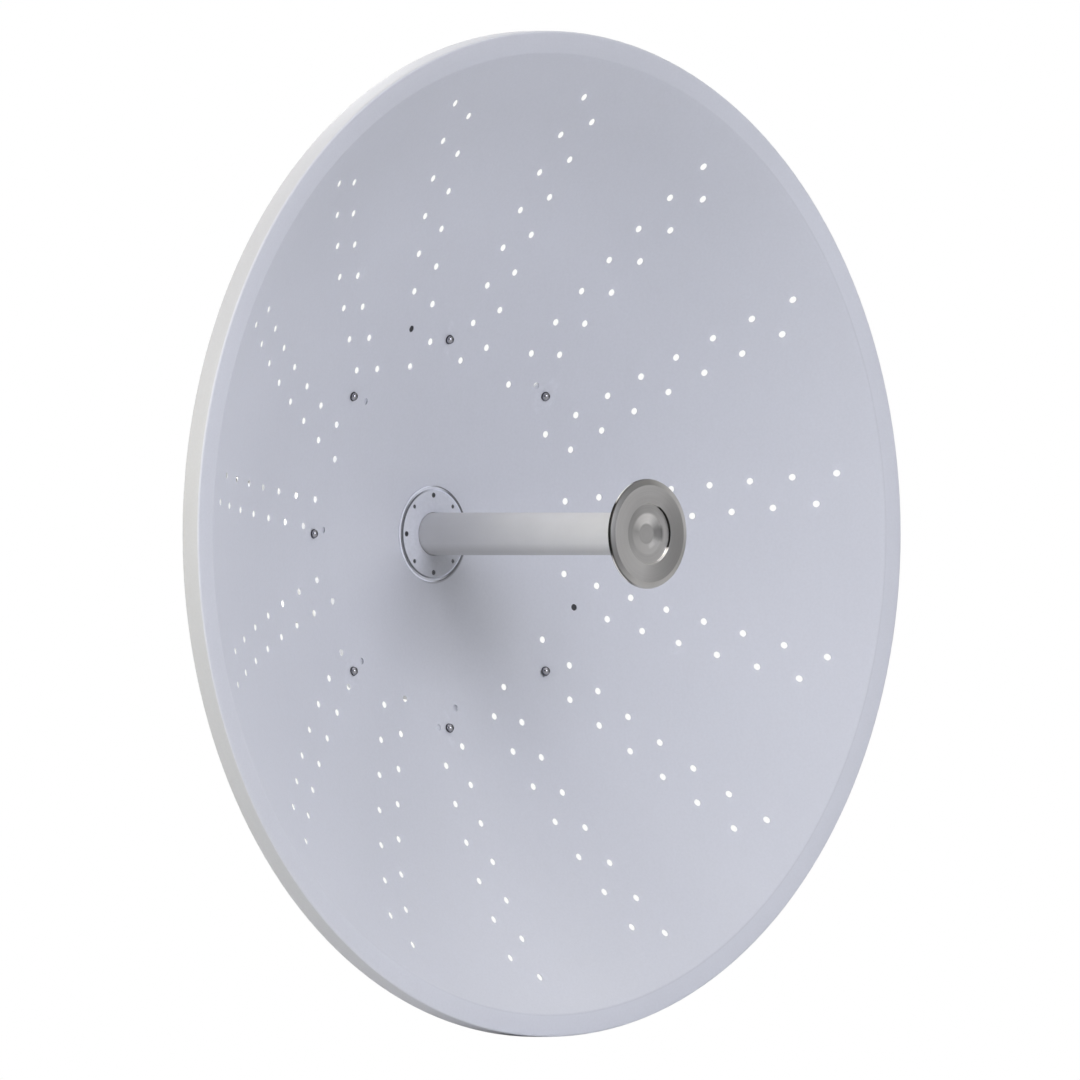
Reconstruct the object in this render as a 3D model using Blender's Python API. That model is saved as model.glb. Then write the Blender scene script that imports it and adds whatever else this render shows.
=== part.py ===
"""Dish antenna of a wireless bridge: a perforated reflector, its rear-fed feed and a mast bracket.

Metres, +Z up. The dish looks along -Y. The origin lies on the flat rear face of the mast
bracket, at its middle, where the mast stands behind the dish.

Every piece is made in the frame of the dish's own axis: x to the right as seen from the
front, y up, z out of the bowl, with zero at the vertex of the bowl's front surface.
"""

import math

import bmesh
import bpy
from mathutils import Matrix

# Clear space between pieces that touch.
GAP = 0.0003
# How far a cutter runs past what it cuts.
CUT_MARGIN = 0.010
# Edges of turned pieces that bend more than this stay sharp.
SHARP_ANGLE = math.radians(35)

# Reflector: a spherical bowl of sheet metal with a flat rim band and a skirt behind it.
REFLECTOR_RADIUS = 0.450
CURVE_RADIUS = 0.700
SHEET = 0.0015
BAND_RISE = 0.0009
RIM_CORNER = 0.003
SKIRT_DEPTH = 0.020
REFLECTOR_STEPS = 60
CORNER_STEPS = 2
# The one sheet is cut into a centre, ten sectors and a rim, so that collision follows the bowl.
# Rings of the centre's mesh leave a flat facet under the flange and under the bolt heads.
CENTRE_EDGE = 0.1992
BOWL_EDGE = 0.430
CENTRE_RINGS = (0.021, 0.048, 0.105, 0.160, 0.188, CENTRE_EDGE - GAP / 2)
SECTOR_RINGS = (CENTRE_EDGE + GAP / 2, 0.265, 0.350, BOWL_EDGE - GAP / 2)
SECTOR_COUNT = 10
SECTOR_STEPS = REFLECTOR_STEPS // SECTOR_COUNT

# Wind holes: two staggered rows beside each of fifteen spokes.
SPOKE_COUNT = 15
SPOKE_START = math.radians(6.0)
WIND_HOLE_RADIUS = 0.003
WIND_HOLE_SIDES = 6
WIND_HOLE_PITCH = 0.0344
WIND_ROW_OFFSET = 0.0129
LONG_ROW_START = 0.1558
LONG_ROW_COUNT = 8
SHORT_ROW_START = LONG_ROW_START + WIND_HOLE_PITCH / 2
SHORT_ROW_COUNT = 7
WIND_CUT_REACH = 0.008

# Bolts that hold the reflector to the hub behind it.
REFLECTOR_BOLT_COUNT = 8
REFLECTOR_BOLT_CIRCLE = 0.174
REFLECTOR_BOLT_RADIUS = 0.0025
REFLECTOR_BOLT_HEAD_RADIUS = 0.0047
REFLECTOR_BOLT_HEAD_HEIGHT = 0.0028
REFLECTOR_NUT_RADIUS = 0.0046
REFLECTOR_NUT_HEIGHT = 0.004
BOLT_CLEARANCE = 0.0004
BOLT_TAIL = 0.002

# Feed: flange on the bowl, tube, and the small reflector at its end.
TUBE_RADIUS = 0.019
TUBE_WALL = 0.002
TUBE_REAR = -0.012
TUBE_FRONT = 0.262
FLANGE_RADIUS = 0.0434
FLANGE_THICKNESS = 0.0020
FLANGE_LIP_WIDTH = 0.0044
FLANGE_LIP_HEIGHT = 0.0012
FLANGE_LIP_BEVEL = 0.0008
COLLAR_PLUG_LENGTH = 0.012
COLLAR_RADIUS = 0.030
COLLAR_TOP = 0.2672
COLLAR_EDGE = 0.0012
SUBREFLECTOR_RADIUS = 0.0492
SUBREFLECTOR_BACK = COLLAR_TOP + GAP
SUBREFLECTOR_EDGE_BACK = 0.2690
SUBREFLECTOR_EDGE_FRONT = 0.2708
SUBREFLECTOR_BACK_RADIUS = 0.040
PLATEAU_RADIUS = 0.0432
PLATEAU_HEIGHT = 0.2733
RECESS_RADIUS = 0.0274
RECESS_FLOOR = 0.2706
RECESS_BEVEL = 0.0004
DIMPLE_RADIUS = 0.0185
CENTRE_DISC_RADIUS = 0.0092
CENTRE_DISC_HEIGHT = 0.2692
TURNED_STEPS = 32

# Hub: a pressed pan behind the bowl with one ear for each reflector bolt.
HUB_RADIUS = 0.150
HUB_SHEET = 0.003
HUB_BACK = -0.016
HUB_HOLE_RADIUS = 0.030
HUB_STEPS = 40
EAR_WIDTH = 0.028
EAR_THICKNESS = 0.003
EAR_OUTWARD = 0.013
EAR_INWARD = 0.0265
EAR_SHOULDER = 0.0078
EAR_TIP_WIDTH = 0.014
EAR_ROOT_WIDTH = 0.035

# Feed housing behind the hub, with its two cable sockets.
HOUSING_RADIUS = 0.0285
HOUSING_REAR = -0.060
HOUSING_END_RADIUS = 0.024
HOUSING_END_CHAMFER = 0.003
HOUSING_FLANGE_RADIUS = 0.038
HOUSING_FLANGE_THICKNESS = 0.004
SOCKET_BASE_RADIUS = 0.0105
SOCKET_BASE_HEIGHT = 0.005
SOCKET_BARREL_RADIUS = 0.0079
SOCKET_BARREL_HEIGHT = 0.011
SOCKET_BORE_RADIUS = 0.0045
SOCKET_BORE_DEPTH = 0.009
LOWER_SOCKET_Z = -0.036
SIDE_SOCKET_Z = -0.046
SOCKET_STEPS = 12

# Elevation bracket: a U of plate bolted to the hub, with two cheeks towards the mast.
PLATE = 0.004
CHEEK_OUTER = 0.064
BRACKET_HALF_HEIGHT = 0.085
BRACKET_FRONT = HUB_BACK - GAP
CHEEK_REAR = -0.108
CHEEK_NOSE_HALF_HEIGHT = 0.062
CHEEK_SHOULDER = -0.060
PIVOT_Y = -0.045
LOCK_Y = 0.045
PIVOT_Z = -0.085
ELEVATION_SWING = math.radians(15)
PIVOT_BOLT_RADIUS = 0.005
PIVOT_HEAD_RADIUS = 0.0095
PIVOT_HEAD_HEIGHT = 0.0065
SLOT_STEPS = 8
HUB_BOLT_X = 0.046
HUB_BOLT_Y = 0.062
HUB_BOLT_RADIUS = 0.004
HUB_BOLT_HEAD_RADIUS = 0.0075
HUB_BOLT_HEAD_HEIGHT = 0.0055
HUB_BOLT_CUT_MARGIN = 0.008

# Mast bracket: a channel that swings between the cheeks and carries the clamp.
MAST_FACE = -0.134
CHANNEL_FRONT = -0.064
CHANNEL_HALF_HEIGHT = 0.080
CHANNEL_NOSE_HALF_HEIGHT = 0.058
VEE_DEPTH = 0.028
VEE_MOUTH = 0.036
VEE_FLOOR = 0.006
VEE_APEX_HALF_WIDTH = 0.010
JAW_BACK = -0.200
JAW_HALF_WIDTH = 0.064
JAW_HALF_HEIGHT = 0.018
JAW_DEPTH = 0.026
ROD_X = 0.044
ROD_Y = 0.050
ROD_RADIUS = 0.005
ROD_END = -0.226
ROD_END_BEVEL = 0.001
ROD_HEAD_RADIUS = 0.0085
ROD_HEAD_HEIGHT = 0.005
ROD_HEAD_TOP_RADIUS = 0.005
ROD_HEAD_EDGE = 0.0015
ROD_NUT_RADIUS = 0.0085
ROD_NUT_HEIGHT = 0.008
BOLT_STEPS = 10
# Shape of every other bolt head, as shares of its radius and height.
HEAD_TOP_SHARE = 0.75
HEAD_BEVEL_SHARE = 0.35


def curve_height(radius, drop=0.0):
    """Height of the bowl's surface at a radius, a distance drop behind the front surface."""
    return CURVE_RADIUS - math.sqrt((CURVE_RADIUS + drop) ** 2 - radius ** 2)


def clear_scene():
    """Remove whatever the file already holds."""
    for obj in list(bpy.data.objects):
        bpy.data.objects.remove(obj, do_unlink=True)


def material(name, colour, roughness, metallic):
    """A plain finish."""
    finish = bpy.data.materials.new(name)
    finish.use_nodes = True
    shader = finish.node_tree.nodes["Principled BSDF"]
    shader.inputs["Base Color"].default_value = (*colour, 1.0)
    shader.inputs["Roughness"].default_value = roughness
    shader.inputs["Metallic"].default_value = metallic
    return finish


def powder_coat():
    """Light blue-grey powder coat of the reflector and its hub."""
    return material("powder_coat", (0.56, 0.57, 0.65), 0.55, 0.0)


def feed_plastic():
    """Pale weatherproof plastic of the feed tube."""
    return material("feed_plastic", (0.58, 0.58, 0.57), 0.6, 0.0)


def turned_aluminium():
    """Bare turned aluminium of the small reflector."""
    return material("turned_aluminium", (0.45, 0.44, 0.42), 0.3, 1.0)


def cast_housing():
    """Cast aluminium of the feed housing."""
    return material("cast_housing", (0.50, 0.50, 0.51), 0.5, 1.0)


def galvanised_steel():
    """Zinc-coated plate of the brackets."""
    return material("galvanised_steel", (0.52, 0.53, 0.55), 0.45, 1.0)


def stainless_steel():
    """Bright stainless steel of the fasteners."""
    return material("stainless_steel", (0.58, 0.57, 0.55), 0.3, 1.0)


def nickel_plate():
    """Nickel-plated brass of the cable sockets."""
    return material("nickel_plate", (0.62, 0.58, 0.50), 0.25, 1.0)


def add_object(name, mesh, axis_frame, finish=None):
    """Link a mesh as a named piece in the frame of the dish's axis."""
    obj = bpy.data.objects.new(name, mesh)
    bpy.context.scene.collection.objects.link(obj)
    obj.parent = axis_frame
    if finish is not None and not mesh.materials:
        mesh.materials.append(finish)
    return obj


def finish_mesh(bm, name, smooth_angle=None):
    """Turn the faces outwards and write the mesh."""
    bmesh.ops.recalc_face_normals(bm, faces=bm.faces)
    mesh = bpy.data.meshes.new(name)
    bm.to_mesh(mesh)
    bm.free()
    if smooth_angle is not None:
        mesh.shade_smooth()
        mesh.set_sharp_from_angle(angle=smooth_angle)
    return mesh


def turned_mesh(name, profile, steps, closed):
    """Spin a list of (radius, z) points round the z axis.

    A closed profile is a ring that stays clear of the axis. An open one starts and ends on it.
    """
    bm = bmesh.new()
    verts = [bm.verts.new((radius, 0.0, z)) for radius, z in profile]
    pairs = list(zip(verts, verts[1:]))
    if closed:
        pairs.append((verts[-1], verts[0]))
    edges = [bm.edges.new(pair) for pair in pairs]
    bmesh.ops.spin(
        bm, geom=verts + edges, cent=(0, 0, 0), axis=(0, 0, 1),
        angle=2 * math.pi, steps=steps, use_merge=True,
    )
    bmesh.ops.remove_doubles(bm, verts=bm.verts, dist=1e-7)
    return finish_mesh(bm, name, SHARP_ANGLE)


def sector_mesh(name, profile, start, end, steps):
    """Sweep a closed list of (radius, z) points from one angle to another, with flat ends."""
    bm = bmesh.new()
    rows = []
    for i in range(steps + 1):
        turn = start + (end - start) * i / steps
        rows.append([
            bm.verts.new((radius * math.cos(turn), radius * math.sin(turn), z))
            for radius, z in profile
        ])
    count = len(profile)
    for row, following in zip(rows, rows[1:]):
        for i in range(count):
            j = (i + 1) % count
            bm.faces.new((row[i], row[j], following[j], following[i]))
    bm.faces.new(rows[0])
    bm.faces.new(rows[-1])
    return finish_mesh(bm, name, SHARP_ANGLE)


def plate_mesh(name, outline, low, high):
    """Extrude a flat outline of (x, y) points from z = low to z = high."""
    bm = bmesh.new()
    face = bm.faces.new([bm.verts.new((x, y, low)) for x, y in outline])
    grown = bmesh.ops.extrude_face_region(bm, geom=[face])
    moved = [item for item in grown["geom"] if isinstance(item, bmesh.types.BMVert)]
    bmesh.ops.translate(bm, verts=moved, vec=(0, 0, high - low))
    return finish_mesh(bm, name)


def box_outline(half_x, half_y):
    """Corners of a rectangle about the origin."""
    return [(-half_x, -half_y), (half_x, -half_y), (half_x, half_y), (-half_x, half_y)]


def rods_mesh(name, rods, sides):
    """Straight cutters parallel to z, each given as (x, y, radius, low, high)."""
    bm = bmesh.new()
    for x, y, radius, low, high in rods:
        bmesh.ops.create_cone(
            bm, cap_ends=True, segments=sides, radius1=radius, radius2=radius,
            depth=high - low, matrix=Matrix.Translation((x, y, (low + high) / 2)),
        )
    return finish_mesh(bm, name)


def guide(name, mesh, axis_frame):
    """A shape that only cuts or joins other pieces."""
    obj = add_object(name, mesh, axis_frame)
    obj.hide_render = True
    obj.display_type = "WIRE"
    return obj


def boolean(target, tool, operation):
    """Cut or join one piece with a guide, exactly."""
    step = target.modifiers.new(tool.name, "BOOLEAN")
    step.object = tool
    step.operation = operation
    step.solver = "EXACT"


def bowl_profile(rings):
    """Closed outline of the bowl's sheet over a list of radii."""
    front = [(radius, curve_height(radius)) for radius in rings]
    back = [(radius, curve_height(radius, SHEET)) for radius in rings]
    return front + back[::-1]


def corner_points(centre_radius, centre_z, corner):
    """Quarter round of the rim, from its flat band to its skirt."""
    turns = [math.pi / 2 * (1 - i / CORNER_STEPS) for i in range(CORNER_STEPS + 1)]
    return [
        (centre_radius + corner * math.cos(turn), centre_z + corner * math.sin(turn))
        for turn in turns
    ]


def rim_profile():
    """Closed outline of the flat rim band and the skirt behind it."""
    inner = BOWL_EDGE + GAP / 2
    band = curve_height(BOWL_EDGE) + BAND_RISE
    skirt_end = band - SKIRT_DEPTH
    corner_radius = REFLECTOR_RADIUS - RIM_CORNER
    corner_z = band - RIM_CORNER
    front = [(inner, curve_height(BOWL_EDGE))]
    front += corner_points(corner_radius, corner_z, RIM_CORNER)
    front.append((REFLECTOR_RADIUS, skirt_end))
    back = [(inner, curve_height(BOWL_EDGE, SHEET))]
    back += corner_points(corner_radius, corner_z, RIM_CORNER - SHEET)
    back.append((REFLECTOR_RADIUS - SHEET, skirt_end))
    return front + back[::-1]


def wind_hole_places():
    """Centre of every wind hole as (x, y), row by row."""
    places = []
    rows = (
        (LONG_ROW_START, LONG_ROW_COUNT, WIND_ROW_OFFSET),
        (SHORT_ROW_START, SHORT_ROW_COUNT, -WIND_ROW_OFFSET),
    )
    for spoke in range(SPOKE_COUNT):
        turn = SPOKE_START + 2 * math.pi * spoke / SPOKE_COUNT
        for start, count, side in rows:
            for i in range(count):
                along = start + WIND_HOLE_PITCH * i
                x = along * math.cos(turn) - side * math.sin(turn)
                y = along * math.sin(turn) + side * math.cos(turn)
                places.append((x, y))
    return places


def bolt_turns():
    """Angle of each reflector bolt about the dish's axis."""
    return [2 * math.pi * i / REFLECTOR_BOLT_COUNT for i in range(REFLECTOR_BOLT_COUNT)]


def stand_on_bowl(obj, turn):
    """Place a piece on the bolt circle with its z axis square to the bowl's surface."""
    tilt = math.asin(REFLECTOR_BOLT_CIRCLE / CURVE_RADIUS)
    obj.location = (
        REFLECTOR_BOLT_CIRCLE * math.cos(turn),
        REFLECTOR_BOLT_CIRCLE * math.sin(turn),
        curve_height(REFLECTOR_BOLT_CIRCLE),
    )
    obj.rotation_euler = (0.0, -tilt, turn)


def bolt_hole_cutters(axis_frame):
    """One straight cutter through the reflector and an ear for each reflector bolt."""
    reach = SHEET + EAR_THICKNESS + CUT_MARGIN
    radius = REFLECTOR_BOLT_RADIUS + BOLT_CLEARANCE
    mesh = rods_mesh("bolt_hole_cutter", [(0.0, 0.0, radius, -reach, reach)], BOLT_STEPS)
    cutters = []
    for number, turn in enumerate(bolt_turns(), 1):
        cutter = guide(f"bolt_hole_cutter_{number}", mesh, axis_frame)
        stand_on_bowl(cutter, turn)
        cutters.append(cutter)
    return cutters


def cut_wind_holes(piece, places, axis_frame):
    """Drill a piece of the bowl at a list of (x, y) places."""
    name = f"{piece.name}_wind_holes"
    rods = []
    for x, y in places:
        height = curve_height(math.hypot(x, y))
        rods.append((x, y, WIND_HOLE_RADIUS, height - WIND_CUT_REACH, height + WIND_CUT_REACH))
    tool = guide(name, rods_mesh(name, rods, WIND_HOLE_SIDES), axis_frame)
    boolean(piece, tool, "DIFFERENCE")


def make_reflector_centre(axis_frame, bolt_cutters):
    """Middle of the bowl, which carries the feed and takes the hub's bolts."""
    mesh = turned_mesh("reflector_centre", bowl_profile(CENTRE_RINGS), REFLECTOR_STEPS, closed=True)
    centre = add_object("reflector_centre", mesh, axis_frame, powder_coat())
    places = [(x, y) for x, y in wind_hole_places() if math.hypot(x, y) < CENTRE_EDGE]
    cut_wind_holes(centre, places, axis_frame)
    for cutter in bolt_cutters:
        boolean(centre, cutter, "DIFFERENCE")


def make_reflector_sectors(axis_frame):
    """Ten equal sectors of the bowl, cut where no wind hole lies."""
    coat = powder_coat()
    width = 2 * math.pi / SECTOR_COUNT
    inset = GAP / (2 * CENTRE_EDGE)
    outer = [(x, y) for x, y in wind_hole_places() if math.hypot(x, y) > CENTRE_EDGE]
    for number in range(1, SECTOR_COUNT + 1):
        name = f"reflector_sector_{number}"
        start = SPOKE_START + width * (number - 1)
        profile = bowl_profile(SECTOR_RINGS)
        mesh = sector_mesh(name, profile, start + inset, start + width - inset, SECTOR_STEPS)
        sector = add_object(name, mesh, axis_frame, coat)
        places = [(x, y) for x, y in outer if (math.atan2(y, x) - start) % (2 * math.pi) < width]
        cut_wind_holes(sector, places, axis_frame)


def make_reflector_rim(axis_frame):
    """Flat band round the bowl with its skirt."""
    mesh = turned_mesh("reflector_rim", rim_profile(), REFLECTOR_STEPS, closed=True)
    return add_object("reflector_rim", mesh, axis_frame, powder_coat())


def spool_mesh(name, head, shank, nut):
    """Bolt and nut as one turned piece, given as (radius, low, high) from the head down."""
    head_radius, head_low, head_high = head
    shank_radius, shank_end = shank
    nut_radius, nut_low, nut_high = nut
    bevel = HEAD_BEVEL_SHARE * (head_high - head_low)
    profile = [
        (0.0, head_high), (head_radius * HEAD_TOP_SHARE, head_high),
        (head_radius, head_high - bevel), (head_radius, head_low),
        (shank_radius, head_low), (shank_radius, nut_high), (nut_radius, nut_high),
        (nut_radius, nut_low), (shank_radius, nut_low), (shank_radius, shank_end), (0.0, shank_end),
    ]
    return turned_mesh(name, profile, BOLT_STEPS, closed=False)


def make_reflector_bolts(axis_frame):
    """Bolts through the bowl and the hub's ears, each with its nut."""
    steel = stainless_steel()
    nut_top = -(SHEET + GAP + EAR_THICKNESS + GAP)
    nut_low = nut_top - REFLECTOR_NUT_HEIGHT
    mesh = spool_mesh(
        "reflector_bolt",
        (REFLECTOR_BOLT_HEAD_RADIUS, GAP, GAP + REFLECTOR_BOLT_HEAD_HEIGHT),
        (REFLECTOR_BOLT_RADIUS, nut_low - BOLT_TAIL),
        (REFLECTOR_NUT_RADIUS, nut_low, nut_top),
    )
    for number, turn in enumerate(bolt_turns(), 1):
        bolt = add_object(f"reflector_bolt_{number}", mesh, axis_frame, steel)
        stand_on_bowl(bolt, turn)


def make_feed_flange(axis_frame):
    """Round flange on the bowl with a raised lip at its edge."""
    low = curve_height(FLANGE_RADIUS) + GAP
    face = low + FLANGE_THICKNESS
    lip = face + FLANGE_LIP_HEIGHT
    inner = TUBE_RADIUS + GAP
    lip_inner = FLANGE_RADIUS - FLANGE_LIP_WIDTH
    profile = [
        (inner, low), (FLANGE_RADIUS, low), (FLANGE_RADIUS, face),
        (FLANGE_RADIUS - FLANGE_LIP_BEVEL, lip), (lip_inner + FLANGE_LIP_BEVEL, lip),
        (lip_inner, face), (inner, face),
    ]
    mesh = turned_mesh("feed_flange", profile, TURNED_STEPS, closed=True)
    return add_object("feed_flange", mesh, axis_frame, powder_coat())


def make_feed_tube(axis_frame):
    """Tube from the feed housing to the small reflector."""
    inner = TUBE_RADIUS - TUBE_WALL
    profile = [
        (inner, TUBE_REAR), (TUBE_RADIUS, TUBE_REAR), (TUBE_RADIUS, TUBE_FRONT), (inner, TUBE_FRONT),
    ]
    mesh = turned_mesh("feed_tube", profile, TURNED_STEPS, closed=True)
    return add_object("feed_tube", mesh, axis_frame, feed_plastic())


def make_collar(axis_frame):
    """Flared plug that closes the tube and carries the small reflector."""
    plug = TUBE_RADIUS - TUBE_WALL - GAP
    seat = TUBE_FRONT + GAP
    profile = [
        (0.0, TUBE_FRONT - COLLAR_PLUG_LENGTH), (plug, TUBE_FRONT - COLLAR_PLUG_LENGTH),
        (plug, seat), (TUBE_RADIUS, seat), (COLLAR_RADIUS, COLLAR_TOP - COLLAR_EDGE),
        (COLLAR_RADIUS, COLLAR_TOP), (0.0, COLLAR_TOP),
    ]
    mesh = turned_mesh("subreflector_collar", profile, TURNED_STEPS, closed=False)
    return add_object("subreflector_collar", mesh, axis_frame, feed_plastic())


def make_subreflector(axis_frame):
    """Turned disc with a bevelled edge, a plateau and a dished recess."""
    profile = [
        (0.0, SUBREFLECTOR_BACK), (SUBREFLECTOR_BACK_RADIUS, SUBREFLECTOR_BACK),
        (SUBREFLECTOR_RADIUS, SUBREFLECTOR_EDGE_BACK),
        (SUBREFLECTOR_RADIUS, SUBREFLECTOR_EDGE_FRONT), (PLATEAU_RADIUS, PLATEAU_HEIGHT),
        (RECESS_RADIUS + RECESS_BEVEL, PLATEAU_HEIGHT - RECESS_BEVEL),
        (RECESS_RADIUS, RECESS_FLOOR), (DIMPLE_RADIUS, RECESS_FLOOR),
        (CENTRE_DISC_RADIUS, CENTRE_DISC_HEIGHT), (0.0, CENTRE_DISC_HEIGHT),
    ]
    mesh = turned_mesh("subreflector", profile, TURNED_STEPS, closed=False)
    return add_object("subreflector", mesh, axis_frame, turned_aluminium())


def make_hub(axis_frame, bolt_cutters):
    """Pan behind the bowl, joined to an ear at every reflector bolt."""
    inner = HUB_RADIUS - HUB_SHEET
    mouth = curve_height(inner, SHEET) - GAP
    floor = HUB_BACK + HUB_SHEET
    profile = [
        (HUB_HOLE_RADIUS, floor), (inner, floor), (inner, mouth), (HUB_RADIUS, mouth),
        (HUB_RADIUS, HUB_BACK), (HUB_HOLE_RADIUS, HUB_BACK),
    ]
    mesh = turned_mesh("rear_hub", profile, HUB_STEPS, closed=True)
    hub = add_object("rear_hub", mesh, axis_frame, powder_coat())
    ear_top = -(SHEET + GAP)
    half = EAR_WIDTH / 2
    root = EAR_ROOT_WIDTH / 2
    tip = EAR_TIP_WIDTH / 2
    outline = [
        (-EAR_INWARD, -root), (0.0, -half), (EAR_SHOULDER, -half), (EAR_OUTWARD, -tip),
        (EAR_OUTWARD, tip), (EAR_SHOULDER, half), (0.0, half), (-EAR_INWARD, root),
    ]
    ear_mesh = plate_mesh("ear", outline, ear_top - EAR_THICKNESS, ear_top)
    for number, turn in enumerate(bolt_turns(), 1):
        ear = guide(f"ear_{number}", ear_mesh, axis_frame)
        stand_on_bowl(ear, turn)
        boolean(hub, ear, "UNION")
    for cutter in bolt_cutters:
        boolean(hub, cutter, "DIFFERENCE")
    return hub


def make_feed_housing(axis_frame):
    """Cast housing that takes the tube's rear end and carries the cable sockets."""
    front = curve_height(0.0, SHEET) - GAP
    socket = TUBE_RADIUS + GAP
    flange_front = BRACKET_FRONT - PLATE - GAP
    flange_back = flange_front - HOUSING_FLANGE_THICKNESS
    end = HOUSING_END_RADIUS - HOUSING_END_CHAMFER
    profile = [
        (0.0, TUBE_REAR - GAP), (socket, TUBE_REAR - GAP), (socket, front), (HOUSING_RADIUS, front),
        (HOUSING_RADIUS, flange_front), (HOUSING_FLANGE_RADIUS, flange_front),
        (HOUSING_FLANGE_RADIUS, flange_back), (HOUSING_END_RADIUS, flange_back),
        (HOUSING_END_RADIUS, HOUSING_REAR + HOUSING_END_CHAMFER), (end, HOUSING_REAR),
        (0.0, HOUSING_REAR),
    ]
    mesh = turned_mesh("feed_housing", profile, TURNED_STEPS, closed=False)
    return add_object("feed_housing", mesh, axis_frame, cast_housing())


def make_cable_sockets(axis_frame):
    """Two threaded coaxial sockets at right angles, one for each polarisation."""
    base_top = SOCKET_BASE_HEIGHT
    top = base_top + SOCKET_BARREL_HEIGHT
    bore_floor = top - SOCKET_BORE_DEPTH
    profile = [
        (0.0, 0.0), (SOCKET_BASE_RADIUS, 0.0), (SOCKET_BASE_RADIUS, base_top),
        (SOCKET_BARREL_RADIUS, base_top), (SOCKET_BARREL_RADIUS, top), (SOCKET_BORE_RADIUS, top),
        (SOCKET_BORE_RADIUS, bore_floor), (0.0, bore_floor),
    ]
    mesh = turned_mesh("cable_socket", profile, SOCKET_STEPS, closed=False)
    plating = nickel_plate()
    seat = HOUSING_END_RADIUS + GAP
    lower = add_object("lower_cable_socket", mesh, axis_frame, plating)
    lower.location = (0.0, -seat, LOWER_SOCKET_Z)
    lower.rotation_euler = (math.pi / 2, 0.0, 0.0)
    side = add_object("side_cable_socket", mesh, axis_frame, plating)
    side.location = (-seat, 0.0, SIDE_SOCKET_Z)
    side.rotation_euler = (0.0, -math.pi / 2, 0.0)


def cheek_outline():
    """Side view of a cheek as (z, y) points."""
    return [
        (BRACKET_FRONT, -BRACKET_HALF_HEIGHT), (BRACKET_FRONT, BRACKET_HALF_HEIGHT),
        (CHEEK_SHOULDER, BRACKET_HALF_HEIGHT), (CHEEK_REAR, CHEEK_NOSE_HALF_HEIGHT),
        (CHEEK_REAR, -CHEEK_NOSE_HALF_HEIGHT), (CHEEK_SHOULDER, -BRACKET_HALF_HEIGHT),
    ]


def turn_sideways(obj, x):
    """Set a plate drawn as (z, y) upright beside the axis, growing towards +x."""
    obj.location = (x, 0.0, 0.0)
    obj.rotation_euler = (0.0, math.pi / 2, 0.0)


def side_plate(name, outline, x, thickness, axis_frame):
    """Upright plate from an outline of (z, y) points, as a guide."""
    mirrored = [(-z, y) for z, y in outline]
    plate = guide(name, plate_mesh(name, mirrored, 0.0, thickness), axis_frame)
    turn_sideways(plate, x)
    return plate


def elevation_slot_outline():
    """Curved slot round the pivot, for the locking bolt, as (z, y) points."""
    reach = LOCK_Y - PIVOT_Y
    half = PIVOT_BOLT_RADIUS + BOLT_CLEARANCE
    turns = [ELEVATION_SWING * (2 * i / SLOT_STEPS - 1) for i in range(SLOT_STEPS + 1)]
    sides = [
        [(PIVOT_Z + radius * math.sin(turn), PIVOT_Y + radius * math.cos(turn)) for turn in turns]
        for radius in (reach + half, reach - half)
    ]
    return sides[0] + sides[1][::-1]


def make_elevation_bracket(axis_frame):
    """Base plate on the hub with two cheeks, slotted for the tilt of the dish."""
    back = BRACKET_FRONT - PLATE
    outline = box_outline(CHEEK_OUTER, BRACKET_HALF_HEIGHT)
    base = plate_mesh("elevation_bracket", outline, back, BRACKET_FRONT)
    bracket = add_object("elevation_bracket", base, axis_frame, galvanised_steel())
    for name, x in (("left_cheek", -CHEEK_OUTER), ("right_cheek", CHEEK_OUTER - PLATE)):
        boolean(bracket, side_plate(name, cheek_outline(), x, PLATE, axis_frame), "UNION")
    width = 2 * (CHEEK_OUTER + CUT_MARGIN)
    slot = side_plate("elevation_slot", elevation_slot_outline(), -width / 2, width, axis_frame)
    boolean(bracket, slot, "DIFFERENCE")
    boolean(bracket, cross_cutter("pivot_hole", PIVOT_Y, width, axis_frame), "DIFFERENCE")
    rod = (0.0, 0.0, HUB_HOLE_RADIUS, back - CUT_MARGIN, BRACKET_FRONT + CUT_MARGIN)
    hole = guide("housing_hole", rods_mesh("housing_hole", [rod], HUB_STEPS), axis_frame)
    boolean(bracket, hole, "DIFFERENCE")
    return bracket


def cross_cutter(name, y, width, axis_frame):
    """Straight cutter along x for a bolt through the cheeks."""
    rod = (0.0, 0.0, PIVOT_BOLT_RADIUS + BOLT_CLEARANCE, -width / 2, width / 2)
    cutter = guide(name, rods_mesh(name, [rod], BOLT_STEPS), axis_frame)
    cutter.location = (0.0, y, PIVOT_Z)
    cutter.rotation_euler = (0.0, math.pi / 2, 0.0)
    return cutter


def hub_bolt_places():
    """Corners of the bolt pattern between the hub and the elevation bracket."""
    return [(x, y) for y in (-HUB_BOLT_Y, HUB_BOLT_Y) for x in (-HUB_BOLT_X, HUB_BOLT_X)]


def cut_hub_bolt_holes(axis_frame, pieces):
    """Drill the hub and the elevation bracket for the bolts between them."""
    radius = HUB_BOLT_RADIUS + BOLT_CLEARANCE
    low = BRACKET_FRONT - PLATE - CUT_MARGIN
    high = HUB_BACK + HUB_SHEET + HUB_BOLT_CUT_MARGIN
    rods = [(x, y, radius, low, high) for x, y in hub_bolt_places()]
    tool = guide("hub_bolt_cutter", rods_mesh("hub_bolt_cutter", rods, BOLT_STEPS), axis_frame)
    for piece in pieces:
        boolean(piece, tool, "DIFFERENCE")


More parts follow.
